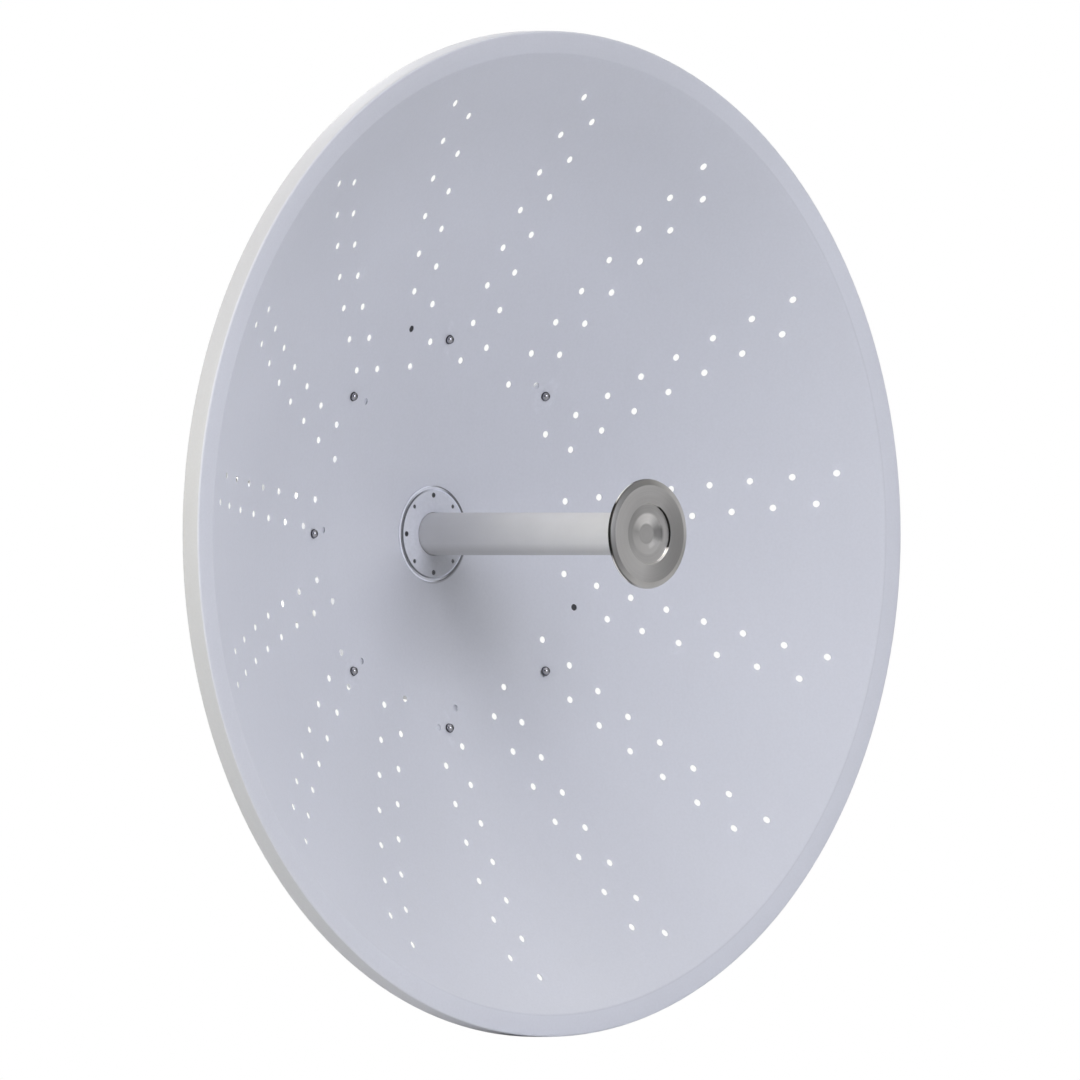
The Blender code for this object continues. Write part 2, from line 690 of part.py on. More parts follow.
def make_hub_bolts(axis_frame):
    """Bolts from behind through the bracket's base plate into the pan."""
    steel = stainless_steel()
    nut_top = -(PLATE + HUB_SHEET + 3 * GAP)
    nut_low = nut_top - HUB_BOLT_HEAD_HEIGHT
    mesh = spool_mesh(
        "hub_bolt",
        (HUB_BOLT_HEAD_RADIUS, 0.0, HUB_BOLT_HEAD_HEIGHT),
        (HUB_BOLT_RADIUS, nut_low - BOLT_TAIL),
        (HUB_BOLT_HEAD_RADIUS, nut_low, nut_top),
    )
    for number, (x, y) in enumerate(hub_bolt_places(), 1):
        bolt = add_object(f"hub_bolt_{number}", mesh, axis_frame, steel)
        bolt.location = (x, y, BRACKET_FRONT - PLATE - GAP)
        bolt.rotation_euler = (math.pi, 0.0, 0.0)


def channel_side_outline():
    """Side view of the mast bracket's channel as (z, y) points."""
    nose = CHANNEL_NOSE_HALF_HEIGHT
    shoulder = (CHANNEL_FRONT + MAST_FACE) / 2
    return [
        (CHANNEL_FRONT, -nose), (CHANNEL_FRONT, nose), (shoulder, CHANNEL_HALF_HEIGHT),
        (MAST_FACE, CHANNEL_HALF_HEIGHT), (MAST_FACE, -CHANNEL_HALF_HEIGHT),
        (shoulder, -CHANNEL_HALF_HEIGHT),
    ]


def vee_outline(half_width, root, mouth):
    """Plan of a vee-notched flange as (x, z) points, from its root to the notch's mouth."""
    towards = 1.0 if mouth > root else -1.0
    apex = root + towards * VEE_FLOOR
    return [
        (-half_width, root), (half_width, root), (half_width, mouth), (VEE_MOUTH, mouth),
        (VEE_APEX_HALF_WIDTH, apex), (-VEE_APEX_HALF_WIDTH, apex), (-VEE_MOUTH, mouth),
        (-half_width, mouth),
    ]


def flat_flange(name, outline, y, thickness, axis_frame):
    """Level plate from an outline of (x, z) points, growing up from y, as a guide."""
    mirrored = [(x, -z) for x, z in outline]
    plate = guide(name, plate_mesh(name, mirrored, 0.0, thickness), axis_frame)
    plate.location = (0.0, y, 0.0)
    plate.rotation_euler = (-math.pi / 2, 0.0, 0.0)
    return plate


def rod_cutter(axis_frame):
    """Cutters for the four clamp rods."""
    radius = ROD_RADIUS + BOLT_CLEARANCE
    low = JAW_BACK - CUT_MARGIN
    high = MAST_FACE + PLATE + CUT_MARGIN
    rods = [(x, y, radius, low, high) for x, y in rod_places()]
    return guide("rod_cutter", rods_mesh("rod_cutter", rods, BOLT_STEPS), axis_frame)


def rod_places():
    """Places of the clamp rods about the mast."""
    return [(x, y) for y in (-ROD_Y, ROD_Y) for x in (-ROD_X, ROD_X)]


def make_mast_bracket(axis_frame, rods):
    """Channel between the cheeks, with a vee-notched flange above and below for the mast."""
    outer = CHEEK_OUTER - PLATE - GAP
    web_outline = box_outline(outer, CHANNEL_HALF_HEIGHT)
    web = plate_mesh("mast_bracket", web_outline, MAST_FACE, MAST_FACE + PLATE)
    bracket = add_object("mast_bracket", web, axis_frame, galvanised_steel())
    for name, x in (("left_side", -outer), ("right_side", outer - PLATE)):
        boolean(bracket, side_plate(name, channel_side_outline(), x, PLATE, axis_frame), "UNION")
    outline = vee_outline(outer, MAST_FACE + PLATE / 2, MAST_FACE - VEE_DEPTH)
    top = CHANNEL_HALF_HEIGHT - PLATE
    for name, y in (("upper_vee", top), ("lower_vee", -CHANNEL_HALF_HEIGHT)):
        boolean(bracket, flat_flange(name, outline, y, PLATE, axis_frame), "UNION")
    width = 2 * (CHEEK_OUTER + CUT_MARGIN)
    for name, y in (("channel_pivot_hole", PIVOT_Y), ("channel_lock_hole", LOCK_Y)):
        boolean(bracket, cross_cutter(name, y, width, axis_frame), "DIFFERENCE")
    boolean(bracket, rods, "DIFFERENCE")
    return bracket


def make_clamp_jaw(name, y, axis_frame, rods):
    """Short channel with vee-notched flanges that presses the mast against the bracket."""
    web_outline = box_outline(JAW_HALF_WIDTH, JAW_HALF_HEIGHT)
    web = plate_mesh(name, web_outline, JAW_BACK, JAW_BACK + PLATE)
    jaw = add_object(name, web, axis_frame, galvanised_steel())
    jaw.location = (0.0, y, 0.0)
    outline = vee_outline(JAW_HALF_WIDTH, JAW_BACK + PLATE / 2, JAW_BACK + JAW_DEPTH)
    for side, low in (("upper", y + JAW_HALF_HEIGHT - PLATE), ("lower", y - JAW_HALF_HEIGHT)):
        boolean(jaw, flat_flange(f"{name}_{side}_flange", outline, low, PLATE, axis_frame), "UNION")
    boolean(jaw, rods, "DIFFERENCE")
    return jaw


def make_clamp_rods(axis_frame):
    """Threaded rods with heads inside the channel, and the nuts that draw the jaws in."""
    steel = stainless_steel()
    head_low = MAST_FACE + PLATE + GAP
    head_high = head_low + ROD_HEAD_HEIGHT
    rod_profile = [
        (0.0, head_high), (ROD_HEAD_TOP_RADIUS, head_high),
        (ROD_HEAD_RADIUS, head_low + ROD_HEAD_EDGE), (ROD_HEAD_RADIUS, head_low),
        (ROD_RADIUS, head_low), (ROD_RADIUS, ROD_END + ROD_END_BEVEL),
        (ROD_RADIUS - ROD_END_BEVEL, ROD_END), (0.0, ROD_END),
    ]
    rod_mesh = turned_mesh("clamp_rod", rod_profile, BOLT_STEPS, closed=False)
    nut_top = JAW_BACK - GAP
    bore = ROD_RADIUS + GAP
    nut_profile = [
        (bore, nut_top - ROD_NUT_HEIGHT), (ROD_NUT_RADIUS, nut_top - ROD_NUT_HEIGHT),
        (ROD_NUT_RADIUS, nut_top), (bore, nut_top),
    ]
    nut_mesh = turned_mesh("clamp_nut", nut_profile, BOLT_STEPS, closed=True)
    for number, (x, y) in enumerate(rod_places(), 1):
        rod = add_object(f"clamp_rod_{number}", rod_mesh, axis_frame, steel)
        rod.location = (x, y, 0.0)
        nut = add_object(f"clamp_nut_{number}", nut_mesh, axis_frame, steel)
        nut.location = (x, y, 0.0)


def make_pivot_bolts(axis_frame):
    """Pivot and locking bolts through each cheek and the channel inside it."""
    steel = stainless_steel()
    nut_top = -2 * (PLATE + GAP)
    nut_low = nut_top - PIVOT_HEAD_HEIGHT
    mesh = spool_mesh(
        "cheek_bolt",
        (PIVOT_HEAD_RADIUS, GAP, GAP + PIVOT_HEAD_HEIGHT),
        (PIVOT_BOLT_RADIUS, nut_low - BOLT_TAIL),
        (PIVOT_HEAD_RADIUS, nut_low, nut_top),
    )
    for side, sign in (("left", -1.0), ("right", 1.0)):
        for use, y in (("pivot", PIVOT_Y), ("elevation_lock", LOCK_Y)):
            bolt = add_object(f"{side}_{use}_bolt", mesh, axis_frame, steel)
            bolt.location = (sign * CHEEK_OUTER, y, PIVOT_Z)
            bolt.rotation_euler = (0.0, sign * math.pi / 2, 0.0)


def make_axis_frame():
    """Empty at the bowl's vertex whose z axis is the way the dish looks."""
    axis_frame = bpy.data.objects.new("dish_axis", None)
    bpy.context.scene.collection.objects.link(axis_frame)
    axis_frame.location = (0.0, MAST_FACE, 0.0)
    axis_frame.rotation_euler = (math.pi / 2, 0.0, 0.0)
    return axis_frame


def main():
    """Build the antenna piece by piece."""
    clear_scene()
    axis_frame = make_axis_frame()
    bolt_cutters = bolt_hole_cutters(axis_frame)
    make_reflector_centre(axis_frame, bolt_cutters)
    make_reflector_sectors(axis_frame)
    make_reflector_rim(axis_frame)
    make_reflector_bolts(axis_frame)
    make_feed_flange(axis_frame)
    make_feed_tube(axis_frame)
    make_collar(axis_frame)
    make_subreflector(axis_frame)
    hub = make_hub(axis_frame, bolt_cutters)
    make_feed_housing(axis_frame)
    make_cable_sockets(axis_frame)
    elevation_bracket = make_elevation_bracket(axis_frame)
    cut_hub_bolt_holes(axis_frame, [hub, elevation_bracket])
    make_hub_bolts(axis_frame)
    rods = rod_cutter(axis_frame)
    make_mast_bracket(axis_frame, rods)
    make_clamp_jaw("upper_clamp_jaw", ROD_Y, axis_frame, rods)
    make_clamp_jaw("lower_clamp_jaw", -ROD_Y, axis_frame, rods)
    make_clamp_rods(axis_frame)
    make_pivot_bolts(axis_frame)


main()
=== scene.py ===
"""Studio view of the dish antenna of a wireless bridge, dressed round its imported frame.

Lengths are metres, +Z is up and the dish looks along -Y. Every piece is first made in the frame
of the dish's own axis: x to the right as seen from the front, y up, z out of the bowl, with zero
at the vertex of the bowl's front surface. AxisFrame then moves its mesh into the row's frame.
"""

import logging
import math
from contextlib import contextmanager
from dataclasses import dataclass
from enum import Enum
from typing import Iterable, Iterator, Sequence

import bmesh
import bpy
from mathutils import Matrix, Vector


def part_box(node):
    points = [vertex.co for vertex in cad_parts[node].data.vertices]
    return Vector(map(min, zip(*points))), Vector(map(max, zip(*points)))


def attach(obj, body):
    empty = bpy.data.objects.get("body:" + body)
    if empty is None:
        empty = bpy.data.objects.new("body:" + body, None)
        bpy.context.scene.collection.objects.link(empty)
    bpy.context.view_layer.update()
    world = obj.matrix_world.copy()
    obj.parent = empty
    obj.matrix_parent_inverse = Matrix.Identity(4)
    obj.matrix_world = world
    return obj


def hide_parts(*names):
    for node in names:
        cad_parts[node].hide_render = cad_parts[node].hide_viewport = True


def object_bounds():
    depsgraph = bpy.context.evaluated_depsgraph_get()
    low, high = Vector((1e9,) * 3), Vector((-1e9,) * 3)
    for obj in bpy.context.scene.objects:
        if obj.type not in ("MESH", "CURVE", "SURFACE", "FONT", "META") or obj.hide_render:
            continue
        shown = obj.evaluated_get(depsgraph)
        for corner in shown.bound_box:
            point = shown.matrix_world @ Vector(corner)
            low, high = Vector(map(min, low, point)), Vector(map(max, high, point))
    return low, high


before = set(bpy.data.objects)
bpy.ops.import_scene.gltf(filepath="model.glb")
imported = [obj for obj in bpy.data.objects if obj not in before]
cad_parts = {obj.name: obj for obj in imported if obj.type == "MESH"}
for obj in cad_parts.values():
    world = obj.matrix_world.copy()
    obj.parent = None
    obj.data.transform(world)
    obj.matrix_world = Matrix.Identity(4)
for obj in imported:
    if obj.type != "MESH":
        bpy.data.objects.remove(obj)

CAD_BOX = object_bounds()
LOG = logging.getLogger("dish_antenna")

Point = tuple[float, float]
Place = tuple[float, float, float]
Colour = tuple[float, float, float]
Corners = Sequence[tuple[float, ...]]
Mesh = bpy.types.Mesh
Socket = bpy.types.NodeSocket
Outputs = bpy.types.NodeOutputs
Tree = bpy.types.NodeTree
Node = bpy.types.Node
Material = bpy.types.Material
Values = dict[str, object]

ROOT = "root"
# The gap between touching pieces, and how far a fine edge is broken.
GAP = 0.0003
EDGE = 0.0003
# The play round a shank, and that of a close fit.
FIT = 0.0001
SNUG = 0.00005
# Points closer than this are one, in a solid and in a shape that was just drawn.
WELD = 2e-6
SAME_POINT = 1e-7
FULL_TURN = 2 * math.pi
QUARTER = math.pi / 2
# Edges that turn by more stay sharp, are broken, or aren't flat.
SHARP_ANGLE = math.radians(32)
BROKEN_ANGLE = math.radians(40)
FLAT_ANGLE = math.radians(0.5)
SOCKET_KINDS = {int: "NodeSocketInt", float: "NodeSocketFloat", tuple: "NodeSocketVector"}


class Slot(Enum):
    """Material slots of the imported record."""

    COAT = "powder_coat"
    PLASTIC = "feed_plastic"
    TURNED = "turned_aluminium"
    CASTING = "cast_housing"
    ZINC = "galvanised_steel"
    STEEL = "stainless_steel"
    NICKEL = "nickel_plate"


class Cut(Enum):
    """How one solid works on another."""

    UNION = "UNION"
    DIFFERENCE = "DIFFERENCE"
    COMMON = "INTERSECT"


@dataclass(frozen=True)
class AxisFrame:
    """The frame of the dish's axis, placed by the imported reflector.

    Attributes:
        vertex_y: where the bowl's vertex lies along the row's Y axis.
    """

    vertex_y: float

    @property
    def to_row(self) -> Matrix:
        """Matrix from the dish's axis frame to the row's frame."""
        return stood((0.0, self.vertex_y, 0.0), QUARTER, "X")


def stood(place: Place, turn: float, axis: str) -> Matrix:
    """Matrix that turns a piece about an axis, by an angle in radians, and takes it to its place."""
    return Matrix.Translation(place) @ Matrix.Rotation(turn, 4, axis)


def rounded(points: Corners, steps: int = 4, closed: bool = True) -> list[Point]:
    """Round the corners of an outline.

    Args:
        points: corners as (a, b) or (a, b, corner radius).
        steps: straight pieces in each rounded corner.
        closed: whether the last point joins the first.

    Returns:
        The outline with an arc in place of each corner that has a radius.
    """
    out: list[Point] = []
    count = len(points)
    for i, corner in enumerate(points):
        here = Vector(corner[:2])
        radius = corner[2] if len(corner) > 2 else 0.0
        ends = not closed and i in (0, count - 1)
        if radius <= 0.0 or ends:
            out.append((here.x, here.y))
            continue
        to_last = Vector(points[i - 1][:2]) - here
        to_next = Vector(points[(i + 1) % count][:2]) - here
        half = to_last.angle(to_next) / 2
        reach = min(radius / math.tan(half), 0.49 * to_last.length, 0.49 * to_next.length)
        start = here + to_last.normalized() * reach
        end = here + to_next.normalized() * reach
        for k in range(steps + 1):
            t = k / steps
            bend = start * (1 - t) ** 2 + here * (2 * t * (1 - t)) + end * t ** 2
            out.append((bend.x, bend.y))
    return out


def arc(centre: Point, radius: float, start: float, end: float, steps: int) -> list[Point]:
    """Points along an arc, angles in radians."""
    turns = [start + (end - start) * k / steps for k in range(steps + 1)]
    return [(centre[0] + radius * math.cos(t), centre[1] + radius * math.sin(t)) for t in turns]


@contextmanager
def edited(mesh: Mesh) -> Iterator[bmesh.types.BMesh]:
    """Open a mesh for editing and write back what was changed.

    Args:
        mesh: what is edited.

    Yields:
        The mesh in editable form.
    """
    bm = bmesh.new()
    bm.from_mesh(mesh)
    yield bm
    bm.to_mesh(mesh)
    bm.free()


def welded(bm: bmesh.types.BMesh) -> None:
    """Join doubled points and flat faces, so that edges are left only where a solid bends."""
    bmesh.ops.remove_doubles(bm, verts=bm.verts, dist=WELD)
    bmesh.ops.dissolve_limit(bm, angle_limit=FLAT_ANGLE, verts=bm.verts, edges=bm.edges)


def mesh_from(name: str, verts: list[tuple], faces: list[tuple]) -> Mesh:
    """Write a mesh whose faces all point outwards.

    Args:
        name: the mesh's name.
        verts: points as (x, y, z).
        faces: the numbers of each face's points.

    Returns:
        The new mesh.
    """
    mesh = bpy.data.meshes.new(name)
    mesh.from_pydata(verts, [], faces)
    with edited(mesh) as bm:
        bmesh.ops.remove_doubles(bm, verts=bm.verts, dist=SAME_POINT)
        bmesh.ops.recalc_face_normals(bm, faces=bm.faces)
    return mesh


def turned(name: str, outline: Sequence[Point], steps: int, closed: bool = False) -> Mesh:
    """Turn an outline of (radius, z) points round the z axis.

    Args:
        name: the mesh's name.
        outline: points in order; an open outline starts and ends on the axis.
        steps: sides of the turned shape.
        closed: whether the outline is a ring that stays clear of the axis.

    Returns:
        A closed mesh.
    """
    verts: list[tuple] = []
    for k in range(steps):
        turn = FULL_TURN * k / steps
        verts += [(r * math.cos(turn), r * math.sin(turn), z) for r, z in outline]
    count = len(outline)
    spans = count if closed else count - 1
    faces: list[tuple] = []
    for k in range(steps):
        here, there = k * count, ((k + 1) % steps) * count
        for i in range(spans):
            j = (i + 1) % count
            corners = [here + i, there + i, there + j, here + j]
            if not closed and outline[i][0] == 0.0:
                corners = [here + i, there + j, here + j]
            elif not closed and outline[j][0] == 0.0:
                corners = [here + i, there + i, here + j]
            faces.append(tuple(corners))
    return mesh_from(name, verts, faces)


def lathed(name: str, corners: Corners, steps: int, bends: int = 4) -> Mesh:
    """Turn an open outline with rounded corners, given as (radius, z) or (radius, z, corner radius)."""
    return turned(name, rounded(corners, bends, closed=False), steps)


def plate(name: str, outline: Sequence[Point], low: float, high: float) -> Mesh:
    """A flat plate across the z axis.

    Args:
        name: the mesh's name.
        outline: (x, y) points in order.
        low: where it starts along z.
        high: where it ends along z.

    Returns:
        A closed mesh.
    """
    count = len(outline)
    verts = [(x, y, low) for x, y in outline] + [(x, y, high) for x, y in outline]
    faces = [tuple(range(count))[::-1], tuple(range(count, 2 * count))]
    faces += [(i, (i + 1) % count, count + (i + 1) % count, count + i) for i in range(count)]
    return mesh_from(name, verts, faces)


def prism(sides: int, radius: float, low: float, high: float) -> Mesh:
    """A bar with a regular outline whose corners lie at a radius."""
    return plate("prism", arc((0.0, 0.0), radius, 0.0, FULL_TURN * (1 - 1 / sides), sides - 1), low, high)


def block(across: float, up: float, low: float, high: float) -> Mesh:
    """A rectangular bar on the z axis."""
    x, y = across / 2, up / 2
    return plate("block", [(-x, -y), (x, -y), (x, y), (-x, y)], low, high)


def moved(mesh: Mesh, matrix: Matrix) -> Mesh:
    """Copy a mesh and move the copy.

    Args:
        mesh: what is copied.
        matrix: the move.

    Returns:
        The copy.
    """
    copy = mesh.copy()
    copy.transform(matrix)
    return copy


def merged(name: str, meshes: Iterable[Mesh]) -> Mesh:
    """Put several meshes in one, as separate bodies.

    Args:
        name: the mesh's name.
        meshes: what it holds, in order.

    Returns:
        The new mesh.
    """
    bm = bmesh.new()
    for mesh in meshes:
        bm.from_mesh(mesh)
    out = bpy.data.meshes.new(name)
    bm.to_mesh(out)
    bm.free()
    return out


def smooth(mesh: Mesh, angle: float = SHARP_ANGLE) -> None:
    """Shade a mesh smooth, with edges over an angle left sharp."""
    mesh.shade_smooth()
    mesh.set_sharp_from_angle(angle=angle)


def numbered(name: str, count: int) -> list[str]:
    """Names of nodes that are numbered from 1."""
    return [f"{name}_{number}" for number in range(1, count + 1)]


def linked(name: str, data: bpy.types.ID) -> bpy.types.Object:
    """Put a new object in the scene.

    Args:
        name: the object's name.
        data: the mesh, lamp or camera that it shows.

    Returns:
        The object.
    """
    obj = bpy.data.objects.new(name, data)
    bpy.context.scene.collection.objects.link(obj)
    return obj


def evaluated(obj: bpy.types.Object, name: str) -> Mesh:
    """Apply an object's modifiers and remove the object.

    Args:
        obj: the object.
        name: what its mesh is called from now on.

    Returns:
        A plain mesh.
    """
    bpy.context.view_layer.update()
    graph = bpy.context.evaluated_depsgraph_get()
    mesh = bpy.data.meshes.new_from_object(obj.evaluated_get(graph), depsgraph=graph)
    mesh.name = name
    bpy.data.objects.remove(obj, do_unlink=True)
    return mesh


def combined(base: Mesh, cut: Cut, *tools: Mesh) -> Mesh:
    """Work solids on a base one after the other, exactly.

    Args:
        base: the solid to start from.
        cut: what each of the others does to it.
        tools: the other solids.

    Returns:
        A closed mesh.
    """
    obj = linked("scratch", base)
    helpers = [linked("scratch", tool) for tool in tools]
    for helper in helpers:
        helper.hide_render = True
        step = obj.modifiers.new("step", "BOOLEAN")
        step.operation = cut.value
        step.solver = "EXACT"
        step.object = helper
    mesh = evaluated(obj, base.name)
    for helper in helpers:
        bpy.data.objects.remove(helper, do_unlink=True)
    return mesh


def softened(mesh: Mesh, width: float, angle: float = BROKEN_ANGLE) -> Mesh:
    """Break the sharp edges of a solid with a small bevel.

    Args:
        mesh: the solid.
        width: how wide the bevel is.
        angle: edges that turn by more are broken.

    Returns:
        A closed mesh.
    """
    with edited(mesh) as bm:
        welded(bm)
    obj = linked("scratch", mesh)
    step = obj.modifiers.new("edge", "BEVEL")
    step.width = width
    step.segments = 2
    step.limit_method = "ANGLE"
    step.angle_limit = angle
    step.use_clamp_overlap = True
    step.harden_normals = False
    return evaluated(obj, mesh.name)


class Wiring:
    """Short ways to add and join the nodes of one tree."""

    def __init__(self, tree: Tree) -> None:
        """Keep the tree that the nodes go into."""
        self.tree = tree

    def feed(self, target: Socket, value: object) -> None:
        """Join an output to an input, or set the input's own value.

        Args:
            target: the input.
            value: an output, or a plain value.
        """
        if isinstance(value, Socket):
            self.tree.links.new(value, target)
        else:
            target.default_value = value

    def node(self, kind: str, inputs: dict | None = None, **settings: object) -> Node:
        """Add a node.

        Args:
            kind: Blender's name for the node's type.
            inputs: socket name or number to a value or to an output that feeds it.
            settings: the node's own settings.

        Returns:
            The new node.
        """
        node = self.tree.nodes.new(kind)
        for key, value in settings.items():
            setattr(node, key, value)
        for key, value in (inputs or {}).items():
            self.feed(node.inputs[key], value)
        return node

    def result(self, kind: str, inputs: dict | None = None, **settings: object) -> Socket:
        """Add a node and give back its first output."""
        return self.node(kind, inputs, **settings).outputs[0]

    def math(self, operation: str, *values: object) -> Socket:
        """The result of one sum on values or sockets."""
        return self.result("ShaderNodeMath", dict(enumerate(values)), operation=operation)

    def times(self, first: object, second: object) -> Socket:
        """The product of two values or sockets."""
        return self.math("MULTIPLY", first, second)

    def vector(self, **parts: object) -> Socket:
        """A vector put together from those of its parts that aren't zero."""
        return self.result("ShaderNodeCombineXYZ", parts)

    def scaled(self, vector: object, factor: object) -> Socket:
        """A vector or colour with each of its parts multiplied."""
        return self.result("ShaderNodeVectorMath", {0: vector, "Scale": factor}, operation="SCALE")

    def agreement(self, first: object, second: object) -> Socket:
        """How nearly two directions agree, from -1 to 1."""
        pair = {0: first, 1: second}
        return self.node("ShaderNodeVectorMath", pair, operation="DOT_PRODUCT").outputs["Value"]

    def noise(self, position: object, scale: object, detail: float) -> Node:
        """Soft noise over a surface, of a scale and with so many finer layers."""
        inputs = {"Vector": position, "Scale": scale, "Detail": detail}
        return self.node("ShaderNodeTexNoise", inputs)

    def spread(self, value: object, low: object, high: object, to: Point = (0.0, 1.0)) -> Socket:
        """Stretch a value from one range to another, held at the ends."""
        inputs = {"Value": value, "From Min": low, "From Max": high, "To Min": to[0], "To Max": to[1]}
        return self.result("ShaderNodeMapRange", inputs)

    def tinted(self, share: object, first: object, second: object) -> Socket:
        """A colour between two others.

        Args:
            share: 0 for the first colour, 1 for the second.
            first: a colour.
            second: the other colour.

        Returns:
            The mixed colour.
        """
        node = self.node("ShaderNodeMix", data_type="RGBA")
        for index, value in ((0, share), (6, first), (7, second)):
            self.feed(node.inputs[index], value)
        return node.outputs[2]

    def overlaid(self, under: object, mask: object, share: float, over: object) -> Socket:
        """A colour with a thin layer of another over it where a mask is light."""
        return self.tinted(self.times(mask, share), under, over)

    def joined(self, *shapes: Socket) -> Socket:
        """Several shapes in one.

        Args:
            shapes: what is joined, in order.

        Returns:
            The joined shape.
        """
        both = self.node("GeometryNodeJoinGeometry")
        for shape in shapes:
            self.feed(both.inputs[0], shape)
        return both.outputs[0]

    def repeated(self, points: Socket, shape: Socket, spin: object = (0.0, 0.0, 0.0)) -> Socket:
        """One copy of a shape on each point."""
        inputs = {"Points": points, "Instance": shape, "Rotation": spin}
        return self.result("GeometryNodeInstanceOnPoints", inputs)

    def shared_turn(self, count: Socket, first: Socket) -> Socket:
        """The turn of each point of a row that is shared out evenly round a circle."""
        whole = self.times(self.result("GeometryNodeInputIndex"), FULL_TURN)
        return self.math("ADD", self.math("DIVIDE", whole, count), first)


def socket(tree: Tree, name: str, kind: str, value: object = None, out: bool = False) -> None:
    """Add an input or output to a node group.

    Args:
        tree: the node group.
        name: the socket's name.
        kind: Blender's name for its type.
        value: its value at rest.
        out: whether it is an output.
    """
    item = tree.interface.new_socket(name=name, in_out="OUTPUT" if out else "INPUT", socket_type=kind)
    if value is not None:
        item.default_value = value


class GeometryTool:
    """A Geometry Nodes tree that takes a mesh and gives back a plain one."""

    name = "tool"
    inputs: Values = {}

    def __init__(self) -> None:
        """Build the tree once, with its named inputs."""
        self.tree = bpy.data.node_groups.new(self.name, "GeometryNodeTree")
        socket(self.tree, "Geometry", "NodeSocketGeometry")
        for label, value in self.inputs.items():
            socket(self.tree, label, SOCKET_KINDS[type(value)], value)
        socket(self.tree, "Finish", "NodeSocketMaterial")
        socket(self.tree, "Geometry", "NodeSocketGeometry", out=True)
        wiring = Wiring(self.tree)
        value = wiring.node("NodeGroupInput").outputs
        solid = wiring.result("GeometryNodeRealizeInstances", {"Geometry": self.wire(wiring, value)})
        dressed = wiring.result("GeometryNodeSetMaterial", {"Geometry": solid, "Material": value["Finish"]})
        wiring.node("NodeGroupOutput", {"Geometry": dressed})

    def wire(self, wiring: Wiring, value: Outputs) -> Socket:
        """Add the tree's own nodes.

        Args:
            wiring: where the nodes go.
            value: the tree's inputs.

        Returns:
            The shape that the nodes make.
        """
        return value["Geometry"]

    def run(self, mesh: Mesh, finish: Material, **values: object) -> Mesh:
        """Put a mesh through the tree.

        Args:
            mesh: what the tree starts from.
            finish: the material that the result carries.
            values: the tree's inputs, with _ for each space in a name.

        Returns:
            A plain mesh.
        """
        obj = linked("scratch", mesh)
        step = obj.modifiers.new(self.name, "NODES")
        step.node_group = self.tree
        wanted = {label.replace("_", " "): value for label, value in values.items()}
        wanted["Finish"] = finish
        for item in self.tree.interface.items_tree:
            if item.in_out == "INPUT" and item.name in wanted:
                step[item.identifier] = wanted[item.name]
        return evaluated(obj, mesh.name)


class SpokeHoles(GeometryTool):
    """Punches two staggered rows of round holes beside every spoke of a bowl."""

    name = "spoke_holes"
    inputs = {
        "Spokes": 15, "First Spoke": 0.0, "Pitch": 0.03, "Offset": 0.01, "Start": 0.1,
        "Long Row": 8, "Short Row": 7, "Hole Radius": 0.003, "Hole Sides": 24, "Reach": 0.5,
    }

    def wire(self, wiring: Wiring, value: Outputs) -> Socket:
        """Lines of points beside one spoke, turned round the axis, drilled out of the bowl."""
        step = wiring.vector(X=value["Pitch"])
        later = wiring.math("ADD", value["Start"], wiring.times(value["Pitch"], 0.5))
        other_side = wiring.times(value["Offset"], -1.0)
        rows = []
        for along, aside, count in (
            (value["Start"], value["Offset"], value["Long Row"]),
            (later, other_side, value["Short Row"]),
        ):
            line = {"Count": count, "Start Location": wiring.vector(X=along, Y=aside), "Offset": step}
            rows.append(wiring.result("GeometryNodeMeshLine", line))
        spin = wiring.vector(Z=wiring.shared_turn(value["Spokes"], value["First Spoke"]))
        hub = wiring.result("GeometryNodePoints", {"Count": value["Spokes"]})
        spokes = wiring.repeated(hub, wiring.joined(*rows), spin)
        places = wiring.result("GeometryNodeRealizeInstances", {"Geometry": spokes})
        sizes = {"Vertices": value["Hole Sides"], "Radius": value["Hole Radius"], "Depth": value["Reach"]}
        punches = wiring.repeated(places, wiring.result("GeometryNodeMeshCylinder", sizes))
        solid = wiring.result("GeometryNodeRealizeInstances", {"Geometry": punches})
        pair = {0: value["Geometry"], 1: solid}
        return wiring.result("GeometryNodeMeshBoolean", pair, operation="DIFFERENCE", solver="EXACT")


class RingRepeat(GeometryTool):
    """Repeats a piece round the z axis, leaning each copy towards it."""

    name = "ring_repeat"
    inputs = {"Count": 8, "Ring Radius": 0.1, "Height": 0.0, "Lean": 0.0, "First Turn": 0.0}

    def wire(self, wiring: Wiring, value: Outputs) -> Socket:
        """One copy on each corner of a circle of points."""
        points = wiring.result("GeometryNodePoints", {"Count": value["Count"]})
        turn = wiring.shared_turn(value["Count"], value["First Turn"])
        across = wiring.times(wiring.math("COSINE", turn), value["Ring Radius"])
        up = wiring.times(wiring.math("SINE", turn), value["Ring Radius"])
        place = wiring.vector(X=across, Y=up, Z=value["Height"])
        ring = wiring.result("GeometryNodeSetPosition", {"Geometry": points, "Position": place})
        spin = wiring.vector(Y=wiring.times(value["Lean"], -1.0), Z=turn)
        return wiring.repeated(ring, value["Geometry"], spin)


class CornerRepeat(GeometryTool):
    """Repeats a piece on the four corners of an upright rectangle."""

    name = "corner_repeat"
    inputs = {"Across": 0.1, "Up": 0.1, "Height": 0.0}

    def wire(self, wiring: Wiring, value: Outputs) -> Socket:
        """One copy on each corner of a two by two grid."""
        sizes = {"Size X": value["Across"], "Size Y": value["Up"], "Vertices X": 2, "Vertices Y": 2}
        grid = wiring.result("GeometryNodeMeshGrid", sizes)
        lift = wiring.vector(Z=value["Height"])
        raised = wiring.result("GeometryNodeSetPosition", {"Geometry": grid, "Offset": lift})
        return wiring.repeated(raised, value["Geometry"])


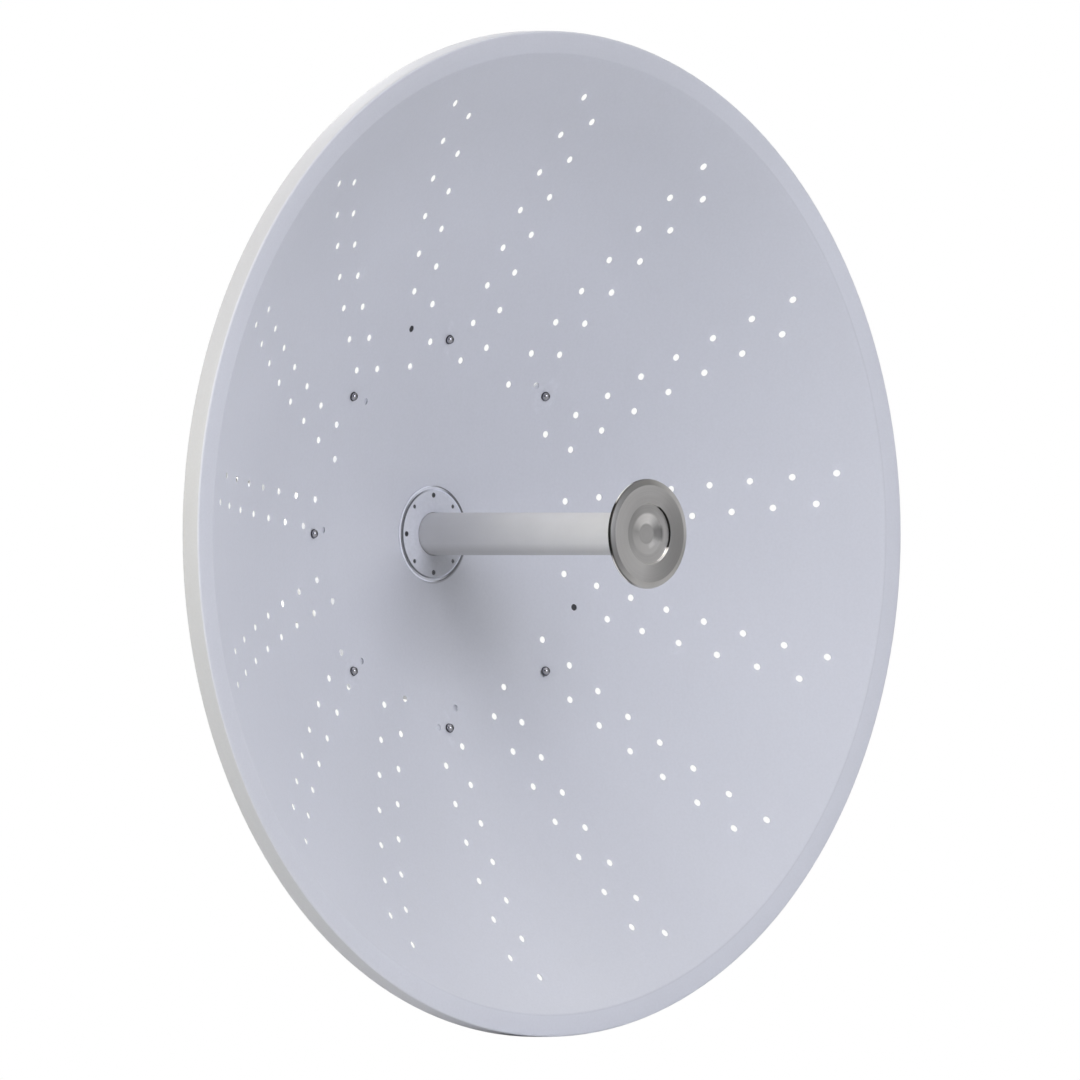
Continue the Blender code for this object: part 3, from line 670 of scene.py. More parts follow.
class ScrewThread(GeometryTool):
    """Winds a thread round the z axis, beside the core that it is given."""

    name = "screw_thread"
    inputs = {
        "Core Radius": 0.004, "Depth": 0.0006, "Turns": 10.0, "Length": 0.01, "Base": 0.0, "Steps": 16,
    }

    def wire(self, wiring: Wiring, value: Outputs) -> Socket:
        """A three-sided profile swept along a helix, joined to the core."""
        helix = wiring.result(
            "GeometryNodeCurveSpiral",
            {
                "Resolution": value["Steps"], "Rotations": value["Turns"],
                "Start Radius": value["Core Radius"], "End Radius": value["Core Radius"],
                "Height": value["Length"],
            },
        )
        ridge = wiring.result(
            "GeometryNodeCurvePrimitiveCircle", {"Resolution": 3, "Radius": value["Depth"]}
        )
        sweep = {"Curve": helix, "Profile Curve": ridge, "Fill Caps": True}
        swept = wiring.result("GeometryNodeCurveToMesh", sweep)
        lift = wiring.vector(Z=value["Base"])
        placed = wiring.result("GeometryNodeSetPosition", {"Geometry": swept, "Offset": lift})
        return wiring.joined(placed, value["Geometry"])


class Effect:
    """A shader node group that puts out masks or heights that change over a surface."""

    name = "effect"
    inputs: Values = {}
    outputs: tuple[str, ...] = ()

    def __init__(self) -> None:
        """Build the group once."""
        self.tree = bpy.data.node_groups.new(self.name, "ShaderNodeTree")
        socket(self.tree, "Position", "NodeSocketVector")
        for label, value in self.inputs.items():
            socket(self.tree, label, SOCKET_KINDS[type(value)], value)
        for label in self.outputs:
            socket(self.tree, label, "NodeSocketFloat", out=True)
        wiring = Wiring(self.tree)
        results = self.wire(wiring, wiring.node("NodeGroupInput").outputs)
        wiring.node("NodeGroupOutput", dict(zip(self.outputs, results)))

    def wire(self, wiring: Wiring, value: Outputs) -> tuple[Socket, ...]:
        """Add the group's own nodes.

        Args:
            wiring: where the nodes go.
            value: the group's inputs.

        Returns:
            What feeds each of the group's outputs, in their order.
        """
        return ()


class FineGrain(Effect):
    """Orange peel of a sprayed coat, or the bead-blasted skin of a casting."""

    name = "fine_grain"
    inputs = {"Scale": 900.0, "Patch Scale": 6.0}
    outputs = ("Height", "Speckle", "Patch")

    def wire(self, wiring: Wiring, value: Outputs) -> tuple[Socket, ...]:
        """Two sizes of noise for the grain, and a wide one for uneven thickness."""
        position = value["Position"]
        fine = wiring.noise(position, value["Scale"], 2.0).outputs[0]
        broad = wiring.noise(position, wiring.times(value["Scale"], 0.31), 1.0).outputs[0]
        patch = wiring.noise(position, value["Patch Scale"], 3.0).outputs[0]
        height = wiring.math("MULTIPLY_ADD", fine, 0.6, wiring.times(broad, 0.4))
        return height, wiring.spread(fine, 0.3, 0.7), wiring.spread(patch, 0.3, 0.7)


class TurningGrooves(Effect):
    """Fine rings left by a lathe tool about the dish's axis."""

    name = "turning_grooves"
    inputs = {"Pitch": 0.0004, "Band Scale": 900.0}
    outputs = ("Height", "Band")

    def wire(self, wiring: Wiring, value: Outputs) -> tuple[Socket, ...]:
        """A wave over the distance from the axis, with rings of uneven finish."""
        part = wiring.node("ShaderNodeSeparateXYZ", {"Vector": value["Position"]}).outputs
        squares = [wiring.times(part[label], part[label]) for label in "XZ"]
        radius = wiring.math("SQRT", wiring.math("ADD", *squares))
        turns = wiring.math("DIVIDE", radius, value["Pitch"])
        wave = wiring.math("SINE", wiring.times(turns, FULL_TURN))
        sizes = {"W": radius, "Scale": value["Band Scale"], "Detail": 3.0}
        band = wiring.result("ShaderNodeTexNoise", sizes, noise_dimensions="1D")
        return wiring.spread(wave, -1.0, 1.0), wiring.spread(band, 0.3, 0.7)


class PaintedArcMask(Effect):
    """Part of a ring round the dish's axis, with soft ends, that places painted light or shade."""

    name = "painted_arc_mask"
    inputs = {
        "Inner": 0.01, "Outer": 0.02, "Edge": 0.0002, "Toward": (1.0, 0.0, 0.0), "Begin": 0.0, "Full": 1.0,
    }
    outputs = ("Mask",)

    def wire(self, wiring: Wiring, value: Outputs) -> tuple[Socket, ...]:
        """Distance from the axis within two bounds, and the way to a point near enough to a heading."""
        kind = "ShaderNodeVectorMath"
        flat = wiring.result(kind, {0: value["Position"], 1: (1.0, 0.0, 1.0)}, operation="MULTIPLY")
        radius = wiring.node(kind, {0: flat}, operation="LENGTH").outputs["Value"]
        unit = wiring.result(kind, {0: flat}, operation="NORMALIZE")
        along = wiring.agreement(unit, value["Toward"])
        ends = []
        for bound, sign in ((value["Inner"], 1.0), (value["Outer"], -1.0)):
            reach = wiring.times(value["Edge"], sign)
            low, high = wiring.math("SUBTRACT", bound, reach), wiring.math("ADD", bound, reach)
            ends.append(wiring.spread(radius, low, high))
        return (wiring.times(wiring.times(*ends), wiring.spread(along, value["Begin"], value["Full"])),)


class ZincSpangle(Effect):
    """Crystal patches of a hot-dip zinc coat."""

    name = "zinc_spangle"
    inputs = {"Scale": 90.0}
    outputs = ("Shade", "Height")

    def wire(self, wiring: Wiring, value: Outputs) -> tuple[Socket, ...]:
        """Cells of even shade whose borders are bent by noise."""
        bend = wiring.noise(value["Position"], value["Scale"], 4.0).outputs["Color"]
        place = wiring.result("ShaderNodeVectorMath", {0: value["Position"], 1: wiring.scaled(bend, 0.006)})
        cells = wiring.node("ShaderNodeTexVoronoi", {"Vector": place, "Scale": value["Scale"]}).outputs
        return wiring.result("ShaderNodeSeparateColor", {0: cells["Color"]}), cells["Distance"]


class EdgeWear(Effect):
    """Where handling has rubbed the outer edges."""

    name = "edge_wear"
    inputs = {"Reach": 0.06, "Scale": 240.0}
    outputs = ("Mask",)

    def wire(self, wiring: Wiring, value: Outputs) -> tuple[Socket, ...]:
        """The convex edges, broken up by noise."""
        point = wiring.node("ShaderNodeNewGeometry").outputs["Pointiness"]
        rise = wiring.math("DIVIDE", wiring.math("SUBTRACT", point, 0.5), value["Reach"])
        rough = wiring.noise(value["Position"], value["Scale"], 4.0).outputs[0]
        return (wiring.times(wiring.spread(rise, 0.25, 1.0), wiring.spread(rough, 0.35, 0.65)),)


class Weather(Effect):
    """Dust on what faces up, and faint runs that rain leaves below."""

    name = "weather"
    inputs = {"Dust Scale": 40.0, "Run Scale": 90.0}
    outputs = ("Dust", "Runs")

    def wire(self, wiring: Wiring, value: Outputs) -> tuple[Socket, ...]:
        """Dust from the slope of the surface, runs from noise drawn out downwards."""
        slope = wiring.node("ShaderNodeNewGeometry").outputs["Normal"]
        up = wiring.node("ShaderNodeSeparateXYZ", {"Vector": slope}).outputs["Z"]
        patch = wiring.noise(value["Position"], value["Dust Scale"], 5.0).outputs[0]
        dust = wiring.times(wiring.spread(up, 0.1, 0.9), wiring.spread(patch, 0.35, 0.7))
        stretch = {"Vector": value["Position"], "Scale": (1.0, 1.0, 0.06)}
        drawn = wiring.result("ShaderNodeMapping", stretch)
        runs = wiring.noise(drawn, value["Run Scale"], 3.0).outputs[0]
        return dust, wiring.spread(runs, 0.52, 0.8)


class Surface(Wiring):
    """The nodes of one material, with the shared effects at hand."""

    def __init__(self, tree: Tree, effects: dict[str, Effect]) -> None:
        """Start from where on the object a point lies.

        Args:
            tree: the material's nodes.
            effects: the shared effects by name.
        """
        super().__init__(tree)
        self.effects = effects
        self.position = self.node("ShaderNodeTexCoord").outputs["Object"]

    def effect(self, name: str, position: Socket | None = None, **values: object) -> Outputs:
        """Put a shared effect in the material.

        Args:
            name: the effect's name.
            position: where a point lies, when it isn't measured on the object.
            values: the effect's other inputs, with _ for each space in a name.

        Returns:
            The outputs of the effect.
        """
        node = self.node("ShaderNodeGroup", node_tree=self.effects[name].tree)
        self.feed(node.inputs["Position"], self.position if position is None else position)
        for label, value in values.items():
            self.feed(node.inputs[label.replace("_", " ")], value)
        return node.outputs


@dataclass(frozen=True)
class PaintedArc:
    """A part of a ring round the dish's axis painted lighter or darker: painted highlight, reflection or
    shade.

    Attributes:
        inner: its inner radius.
        outer: its outer radius.
        middle: heading of its middle in degrees, 0 to the right and 90 up.
        half: degrees from the middle to where it starts to fade.
        fade: degrees over which it fades.
        shade: how light the painted light or shade is beside the plain finish.
        edge: how soft its long sides are.
    """

    inner: float
    outer: float
    middle: float
    half: float
    fade: float
    shade: float
    edge: float = 0.0002

    def mask(self, surface: Surface) -> Socket:
        """Where the arc lies on a surface.

        Args:
            surface: the material's nodes.

        Returns:
            A mask that is 1 on the arc.
        """
        heading = math.radians(self.middle)
        return surface.effect(
            "painted_arc_mask", Inner=self.inner, Outer=self.outer, Edge=self.edge,
            Toward=(math.cos(heading), 0.0, math.sin(heading)),
            Begin=math.cos(math.radians(min(180.0, self.half + self.fade))),
            Full=math.cos(math.radians(self.half)),
        )["Mask"]


@dataclass(frozen=True)
class Finish:
    """A finish of the antenna: its slot in the record and its plain values.

    Attributes:
        slot: the record's material slot.
        colour: base colour.
        roughness: middle roughness.
        metallic: share of metal.
        painted_arcs: parts of rings with painted highlight, reflection or shade.
    """

    slot: Slot
    colour: Colour
    roughness: float
    metallic: float = 0.0
    painted_arcs: tuple[PaintedArc, ...] = ()

    def shade(self, share: float) -> tuple[float, float, float, float]:
        """The base colour, lighter or darker, with its alpha."""
        return (*[min(1.0, part * share) for part in self.colour], 1.0)

    def material(self, effects: dict[str, Effect]) -> Material:
        """Make the finish.

        Args:
            effects: the shared effects by name.

        Returns:
            A material whose colour, roughness and relief come from nodes.
        """
        made = bpy.data.materials.new(self.slot.value)
        made.use_nodes = True
        shader = made.node_tree.nodes["Principled BSDF"]
        surface = Surface(made.node_tree, effects)
        dressed = self.dress(surface)
        # Painted light and shade from the finish's arcs go over the base colour.
        dressed["Base Color"] = self.with_painted_light(surface, dressed["Base Color"])
        for label, value in {"Metallic": self.metallic, **dressed}.items():
            surface.feed(shader.inputs[label], value)
        return made

    def dress(self, surface: Surface) -> Values:
        """Add the finish's own nodes.

        Args:
            surface: the material's nodes.

        Returns:
            Name of a shader input to the socket or value for it.
        """
        return {}

    def with_painted_light(self, surface: Surface, plain: Socket) -> Socket:
        """Lay the finish's painted arcs over a colour, each a lighter or darker cut of it that paints in
        light or shade.

        Args:
            surface: the material's nodes.
            plain: the colour without painted light or shade.

        Returns:
            The colour with its painted light and shade.
        """
        colour = plain
        for part in self.painted_arcs:
            mask = part.mask(surface)
            colour = surface.tinted(mask, colour, surface.scaled(plain, part.shade))
        return colour

    def uneven(self, surface: Surface, mask: Socket, dark: float, light: float) -> Socket:
        """Roughness this far off the middle one where a mask is dark, and that far where it is light."""
        return surface.spread(mask, 0.0, 1.0, (self.roughness + dark, self.roughness + light))

    def relief(self, surface: Surface, height: Socket, depth: float, strength: float = 1.0) -> Socket:
        """Normal of a surface whose height varies by a depth in metres."""
        inputs = {"Height": height, "Distance": depth, "Strength": strength}
        return surface.result("ShaderNodeBump", inputs)


@dataclass(frozen=True)
class PowderCoat(Finish):
    """Satin powder coat with a fine orange peel, worn thin on its edges.

    Attributes:
        peel: depth of the orange peel.
    """

    peel: float = 0.00003

    def dress(self, surface: Surface) -> Values:
        """Speckle, uneven thickness, rain runs and dust over the plain coat."""
        grain = surface.effect("fine_grain", Scale=440.0, Patch_Scale=5.0)
        weather = surface.effect("weather")
        wear = surface.effect("edge_wear")
        coat = surface.tinted(grain["Patch"], self.shade(0.985), self.shade(1.012))
        coat = surface.overlaid(coat, grain["Speckle"], 0.11, self.shade(0.72))
        coat = surface.overlaid(coat, weather["Runs"], 0.05, self.shade(0.8))
        coat = surface.overlaid(coat, weather["Dust"], 0.06, (0.55, 0.53, 0.49, 1.0))
        return {
            "Base Color": surface.overlaid(coat, wear["Mask"], 0.25, self.shade(1.2)),
            "Roughness": self.uneven(surface, grain["Patch"], -0.05, 0.06),
            "Normal": self.relief(surface, grain["Height"], self.peel),
        }


@dataclass(frozen=True)
class WeatherproofPlastic(Finish):
    """Matt moulded plastic with a faint skin.

    Attributes:
        root: how light the painted shade leaves it where it stands on the dish, beside its free end.
        painted_shade_span: where along the row's Y axis that painted shade starts and where it is full.
        skin: depth of the grain.
    """

    root: float = 1.0
    painted_shade_span: Point = (-0.36, -0.20)
    skin: float = 0.00002

    def dress(self, surface: Surface) -> Values:
        """A soft mottling, dust above, a painted shade darkening it towards its root when one is set, and a
        skin of fine grain.
        """
        grain = surface.effect("fine_grain", Scale=1100.0, Patch_Scale=28.0)
        weather = surface.effect("weather", Dust_Scale=60.0)
        body = surface.tinted(grain["Patch"], self.shade(0.97), self.shade(1.015))
        body = surface.overlaid(body, grain["Speckle"], 0.05, self.shade(0.75))
        # Painted shade: darker towards where it stands in the bowl, for the shade there.
        if self.root != 1.0:
            out = surface.node("ShaderNodeSeparateXYZ", {"Vector": surface.position}).outputs["Y"]
            near = surface.spread(out, *self.painted_shade_span)
            body = surface.overlaid(body, near, 1.0 - self.root, (0.0, 0.0, 0.0, 1.0))
        return {
            "Base Color": surface.overlaid(body, weather["Dust"], 0.05, (0.5, 0.48, 0.43, 1.0)),
            "Roughness": self.uneven(surface, grain["Patch"], -0.04, 0.05),
            "Normal": self.relief(surface, grain["Height"], self.skin),
        }


@dataclass(frozen=True)
class TurnedMetal(Finish):
    """Bare metal turned on a lathe about the dish's axis.

    Attributes:
        pitch: distance from groove to groove.
        groove: depth of a groove.
    """

    pitch: float = 0.0005
    groove: float = 0.000004

    def dress(self, surface: Surface) -> Values:
        """Rings of faintly uneven sheen with fine grooves between."""
        grooves = surface.effect("turning_grooves", Pitch=self.pitch, Band_Scale=700.0)
        grain = surface.effect("fine_grain", Scale=1500.0, Patch_Scale=60.0)
        rings = surface.tinted(grooves["Band"], self.shade(0.97), self.shade(1.03))
        return {
            "Base Color": surface.overlaid(rings, grain["Patch"], 0.1, self.shade(0.85)),
            "Roughness": self.uneven(surface, grooves["Band"], -0.04, 0.06),
            "Normal": self.relief(surface, grooves["Height"], self.groove),
        }


@dataclass(frozen=True)
class CastMetal(Finish):
    """Bead-blasted casting.

    Attributes:
        pebble: depth of the blasted skin.
    """

    pebble: float = 0.00008

    def dress(self, surface: Surface) -> Values:
        """A pebbled skin, brighter on its worn edges and dull with dust above."""
        grain = surface.effect("fine_grain", Scale=1300.0, Patch_Scale=45.0)
        weather = surface.effect("weather", Dust_Scale=70.0)
        wear = surface.effect("edge_wear")
        skin = surface.tinted(grain["Patch"], self.shade(0.86), self.shade(1.06))
        dusty = surface.overlaid(skin, weather["Dust"], 0.2, (0.4, 0.39, 0.36, 1.0))
        return {
            "Base Color": surface.tinted(wear["Mask"], dusty, self.shade(1.3)),
            "Roughness": self.uneven(surface, grain["Patch"], -0.08, 0.1),
            "Normal": self.relief(surface, grain["Height"], self.pebble),
        }


@dataclass(frozen=True)
class ZincCoat(Finish):
    """Hot-dip zinc on plate, with its crystal spangle.

    Attributes:
        crystal: height of the crystals.
    """

    crystal: float = 0.00012

    def dress(self, surface: Surface) -> Values:
        """Crystals of uneven shade, white bloom where water lies, and rubbed edges."""
        spangle = surface.effect("zinc_spangle")
        grain = surface.effect("fine_grain", Scale=700.0, Patch_Scale=18.0)
        weather = surface.effect("weather")
        wear = surface.effect("edge_wear")
        crystals = surface.tinted(spangle["Shade"], self.shade(0.8), self.shade(1.12))
        bloom = surface.times(weather["Runs"], surface.times(grain["Patch"], 0.35))
        bloomed = surface.tinted(bloom, crystals, (0.72, 0.73, 0.74, 1.0))
        dull = self.uneven(surface, spangle["Shade"], 0.1, -0.08)
        return {
            "Base Color": surface.tinted(wear["Mask"], bloomed, self.shade(1.25)),
            "Roughness": surface.math("ADD", dull, surface.times(bloom, 0.5)),
            "Normal": self.relief(surface, spangle["Height"], self.crystal, 0.5),
        }


@dataclass(frozen=True)
class BrightSteel(Finish):
    """Rolled or machined bright metal of the fasteners and sockets.

    Attributes:
        painted_far_shade: how light the painted shade is where it faces up and to the dish's right.
        rim: how light its edges are, seen aslant.
        scratch: depth of the brushed scratches.
    """

    painted_far_shade: float = 1.0
    rim: float = 1.0
    scratch: float = 0.00001

    def dress(self, surface: Surface) -> Values:
        """A light brush with cloudy dull places, bright edges and, where set, a painted shade on the side
        that faces up and to the right.
        """
        drawn = surface.result("ShaderNodeMapping", {"Vector": surface.position, "Scale": (1.0, 0.12, 1.0)})
        brush = surface.effect("fine_grain", drawn, Scale=1800.0, Patch_Scale=150.0)
        wear = surface.effect("edge_wear")
        metal = surface.tinted(brush["Patch"], self.shade(0.86), self.shade(1.05))
        metal = surface.tinted(wear["Mask"], metal, self.shade(1.25))
        # Painted shade: darker on the side that faces up and to the right.
        if self.painted_far_shade != 1.0:
            slope = surface.node("ShaderNodeTexCoord").outputs["Normal"]
            far_shade_mask = surface.spread(surface.agreement(slope, (0.9, 0.0, 0.43)), -0.02, 0.2)
            metal = surface.tinted(far_shade_mask, metal, self.shade(self.painted_far_shade))
        return {
            "Base Color": metal,
            "Specular Tint": (self.rim, self.rim, self.rim, 1.0),
            "Roughness": self.uneven(surface, brush["Patch"], -0.05, 0.1),
            "Normal": self.relief(surface, brush["Height"], self.scratch),
        }


class Workshop:
    """What the sub-assemblies share: frame, tools, effects and the materials made so far."""

    def __init__(self, axis: AxisFrame) -> None:
        """Build the effects and the repeating tools.

        Args:
            axis: the frame of the dish's axis.
        """
        self.axis = axis
        effects = (FineGrain, TurningGrooves, PaintedArcMask, ZincSpangle, EdgeWear, Weather)
        self.effects = {effect.name: effect() for effect in effects}
        self.holes = SpokeHoles()
        self.ring = RingRepeat()
        self.corners = CornerRepeat()
        self.thread = ScrewThread()
        self.materials: dict[Finish, Material] = {}

    def material(self, finish: Finish) -> Material:
        """Find or make the material of a finish.

        Args:
            finish: the finish.

        Returns:
            Its material, made the first time that it is asked for.
        """
        if finish not in self.materials:
            self.materials[finish] = finish.material(self.effects)
        return self.materials[finish]

    def hand_over(
        self, name: str, mesh: Mesh, finish: Finish, nodes: Sequence[str] = (), bend: float = SHARP_ANGLE
    ) -> None:
        """Move a mesh from the dish's axis frame to the row's frame and register it as a piece.

        Args:
            name: the piece's name.
            mesh: a closed mesh in the dish's axis frame.
            finish: what it is dressed in.
            nodes: the CAD nodes that it stands for.
            bend: edges that turn by more than this stay sharp; 0 keeps the mesh's own shading.
        """
        if bend > 0.0:
            smooth(mesh, bend)
        mesh.transform(self.axis.to_row)
        mesh.name = name
        mesh.materials.clear()
        mesh.materials.append(self.material(finish))
        piece = linked(name, mesh)
        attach(piece, ROOT)
        if nodes:
            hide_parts(*nodes)
        LOG.info("%s: %d faces", name, len(mesh.polygons))


COAT_WHITE = (0.66, 0.675, 0.74)
COAT = PowderCoat(Slot.COAT, COAT_WHITE, 0.5)
# Flange coat with painted light and shade: a painted shadow of the tube on its face below the tube, and
# painted highlights and shade on the bead, light where its flanks face left and up and dark where they face
# right.
FLANGE_COAT_PAINTED_LIGHT = PowderCoat(
    Slot.COAT, COAT_WHITE, 0.5,
    painted_arcs=(
        PaintedArc(0.0190, 0.0388, 290.0, 12.0, 56.0, 0.66, 0.0006),
        PaintedArc(0.0402, 0.0420, 90.0, 30.0, 30.0, 1.20, 0.0003),
        PaintedArc(0.0388, 0.0401, 186.0, 66.0, 25.0, 0.34, 0.0003),
        PaintedArc(0.0400, 0.0421, 183.0, 35.0, 30.0, 0.34, 0.0003),
        PaintedArc(0.0420, 0.0436, 4.0, 86.0, 16.0, 0.20, 0.0003),
        PaintedArc(0.0404, 0.0422, 0.0, 60.0, 20.0, 0.20, 0.0003),
        PaintedArc(0.0422, 0.0436, 180.0, 82.0, 20.0, 1.35, 0.0002),
        PaintedArc(0.0392, 0.0403, 8.0, 72.0, 20.0, 1.33, 0.0002),
    ),
)
# Bowl coat with painted light and shade: a soft painted shadow of the feed below and right of it, a painted
# shade line just outside the flange, the outer bowl painted lighter to the left and darker at the top, the
# rim band painted lighter to the lower right and the skirt painted darker on the left.
BOWL_COAT_PAINTED_LIGHT = PowderCoat(
    Slot.COAT, COAT_WHITE, 0.5,
    painted_arcs=(
        PaintedArc(0.0, 0.097, 284.0, 30.0, 60.0, 0.83, 0.045),
        PaintedArc(0.0426, 0.0446, -40.0, 35.0, 35.0, 0.55, 0.0004),
        PaintedArc(0.33, 0.52, 195.0, 45.0, 50.0, 1.035, 0.05),
        PaintedArc(0.33, 0.52, 90.0, 22.0, 50.0, 0.905, 0.05),
        PaintedArc(0.4315, 0.4515, 0.0, 180.0, 1.0, 1.0, 0.0005),
        PaintedArc(0.4315, 0.4497, -40.0, 60.0, 60.0, 1.08, 0.0005),
        PaintedArc(0.4498, 0.4515, 195.0, 45.0, 35.0, 0.92, 0.0001),
    ),
)
PLASTIC = WeatherproofPlastic(Slot.PLASTIC, (0.66, 0.66, 0.645), 0.5)
# Tube plastic with painted shade: darker along its underside, and darker towards the flange through its root
# light.
TUBE_PLASTIC_PAINTED_SHADE = WeatherproofPlastic(
    Slot.PLASTIC, (0.70, 0.70, 0.712), 0.5, painted_arcs=(PaintedArc(0.0150, 0.0200, 265.0, 28.0, 30.0, 0.75),), root=0.90
)
# Turned metal with painted reflections: light and dark fans and lines on the bevel, edge wall, plateau,
# recess and cone stand for the sheen of the turned faces and the shade of their walls.
TURNED = TurnedMetal(
    Slot.TURNED, (0.55, 0.54, 0.53), 0.34, 1.0,
    painted_arcs=(
        PaintedArc(0.0436, 0.0500, 150.0, 60.0, 40.0, 0.44, 0.0003),
        PaintedArc(0.0440, 0.0500, -20.0, 28.0, 36.0, 1.30, 0.0005),
        PaintedArc(0.0483, 0.0500, 215.0, 25.0, 15.0, 0.25, 0.0002),
        PaintedArc(0.0483, 0.0500, 125.0, 25.0, 15.0, 0.25, 0.0002),
        PaintedArc(0.0485, 0.0500, 170.0, 27.0, 12.0, 0.03, 0.0002),
        PaintedArc(0.0490, 0.0500, 129.0, 10.0, 8.0, 1.80, 0.0001),
        PaintedArc(0.0490, 0.0500, 223.0, 13.0, 8.0, 1.80, 0.0001),
        PaintedArc(0.0273, 0.0434, 180.0, 70.0, 60.0, 1.12, 0.0003),
        PaintedArc(0.0273, 0.0400, 118.0, 36.0, 40.0, 1.19, 0.0040),
        PaintedArc(0.0273, 0.0434, -22.0, 15.0, 68.0, 0.66, 0.0003),
        PaintedArc(0.0266, 0.0274, 265.0, 25.0, 10.0, 0.50, 0.0002),
        PaintedArc(0.0266, 0.0274, 17.0, 42.0, 8.0, 0.05, 0.0002),
        PaintedArc(0.0266, 0.0276, -45.0, 12.0, 8.0, 1.80, 0.0002),
        PaintedArc(0.0190, 0.0265, 165.0, 25.0, 40.0, 0.83, 0.0003),
        PaintedArc(0.0190, 0.0265, 15.0, 30.0, 40.0, 1.10, 0.0003),
        PaintedArc(0.0092, 0.0185, 105.0, 25.0, 40.0, 1.80, 0.0008),
        PaintedArc(0.0098, 0.0135, -58.0, 10.0, 14.0, 1.25, 0.0010),
        PaintedArc(0.0092, 0.0165, 4.0, 12.0, 22.0, 0.55, 0.0010),
        PaintedArc(0.0158, 0.0196, 2.0, 10.0, 16.0, 0.46, 0.0012),
        PaintedArc(0.0086, 0.0094, 0.0, 180.0, 1.0, 0.82, 0.0004),
    ),
)
CASTING = CastMetal(Slot.CASTING, (0.50, 0.50, 0.51), 0.5, 1.0)
ZINC = ZincCoat(Slot.ZINC, (0.62, 0.63, 0.65), 0.42, 1.0)
STEEL = BrightSteel(Slot.STEEL, (0.52, 0.51, 0.50), 0.24, 1.0)
# Bolt steel with a painted shade on the side of each dome that faces up and to the right.
BOLT_STEEL_PAINTED_SHADE = BrightSteel(Slot.STEEL, (0.38, 0.38, 0.41), 0.17, 1.0, painted_far_shade=0.3, rim=0.1)
DARK_STEEL = BrightSteel(Slot.STEEL, (0.13, 0.13, 0.14), 0.4, 1.0)
NICKEL = BrightSteel(Slot.NICKEL, (0.62, 0.58, 0.50), 0.22, 1.0)
INSULATOR = WeatherproofPlastic(Slot.PLASTIC, (0.80, 0.79, 0.76), 0.45)
RUBBER = WeatherproofPlastic(Slot.STEEL, (0.05, 0.05, 0.058), 0.7)


# Chamfer of a hexagon head: its end face beside the flats, its share of the corners, its reach past
# them, and its slope.
FACE_SHARE = 0.97
CORNER_SHARE = 0.28
CORNER_ROOM = 1.02
CHAMFER_SLOPE = 1.6


def hex_head(across: float, low: float, high: float, chamfer_both: bool = False) -> Mesh:
    """Six-sided head or nut with turned chamfers.

    Args:
        across: size across the flats.
        low: where it starts along z.
        high: where it ends along z.
        chamfer_both: whether both ends are chamfered, as on a nut.

    Returns:
        A closed mesh.
    """
    corner = across / math.sqrt(3)
    flat = across / 2 * FACE_SHARE
    clear = corner * CORNER_ROOM
    fall = (CORNER_SHARE * (corner - across / 2) + EDGE) * CHAMFER_SLOPE
    foot, rise = (flat, fall) if chamfer_both else (clear, 0.0)
    lens = [(0.0, low), (foot, low), (clear, low + rise)]
    lens += [(clear, high - fall), (flat, high), (0.0, high)]
    return combined(prism(6, corner, low, high), Cut.COMMON, turned("chamfer", lens, 48))


def ring_plate(inner: float, outer: float, low: float, high: float, edge: float = 0.0002) -> Mesh:
    """Washer with broken edges."""
    corners = [(inner, low), (outer, low, edge), (outer, high, edge), (inner, high)]
    return turned("washer", rounded(corners, 2), 40, closed=True)


def rod(radius: float, low: float, high: float, point: float = 0.0008) -> Mesh:
    """Plain round bar with chamfered ends."""
    wall = [(radius - point, low), (radius, low + point), (radius, high - point), (radius - point, high)]
    return turned("rod", [(0.0, low), *wall, (0.0, high)], 24)


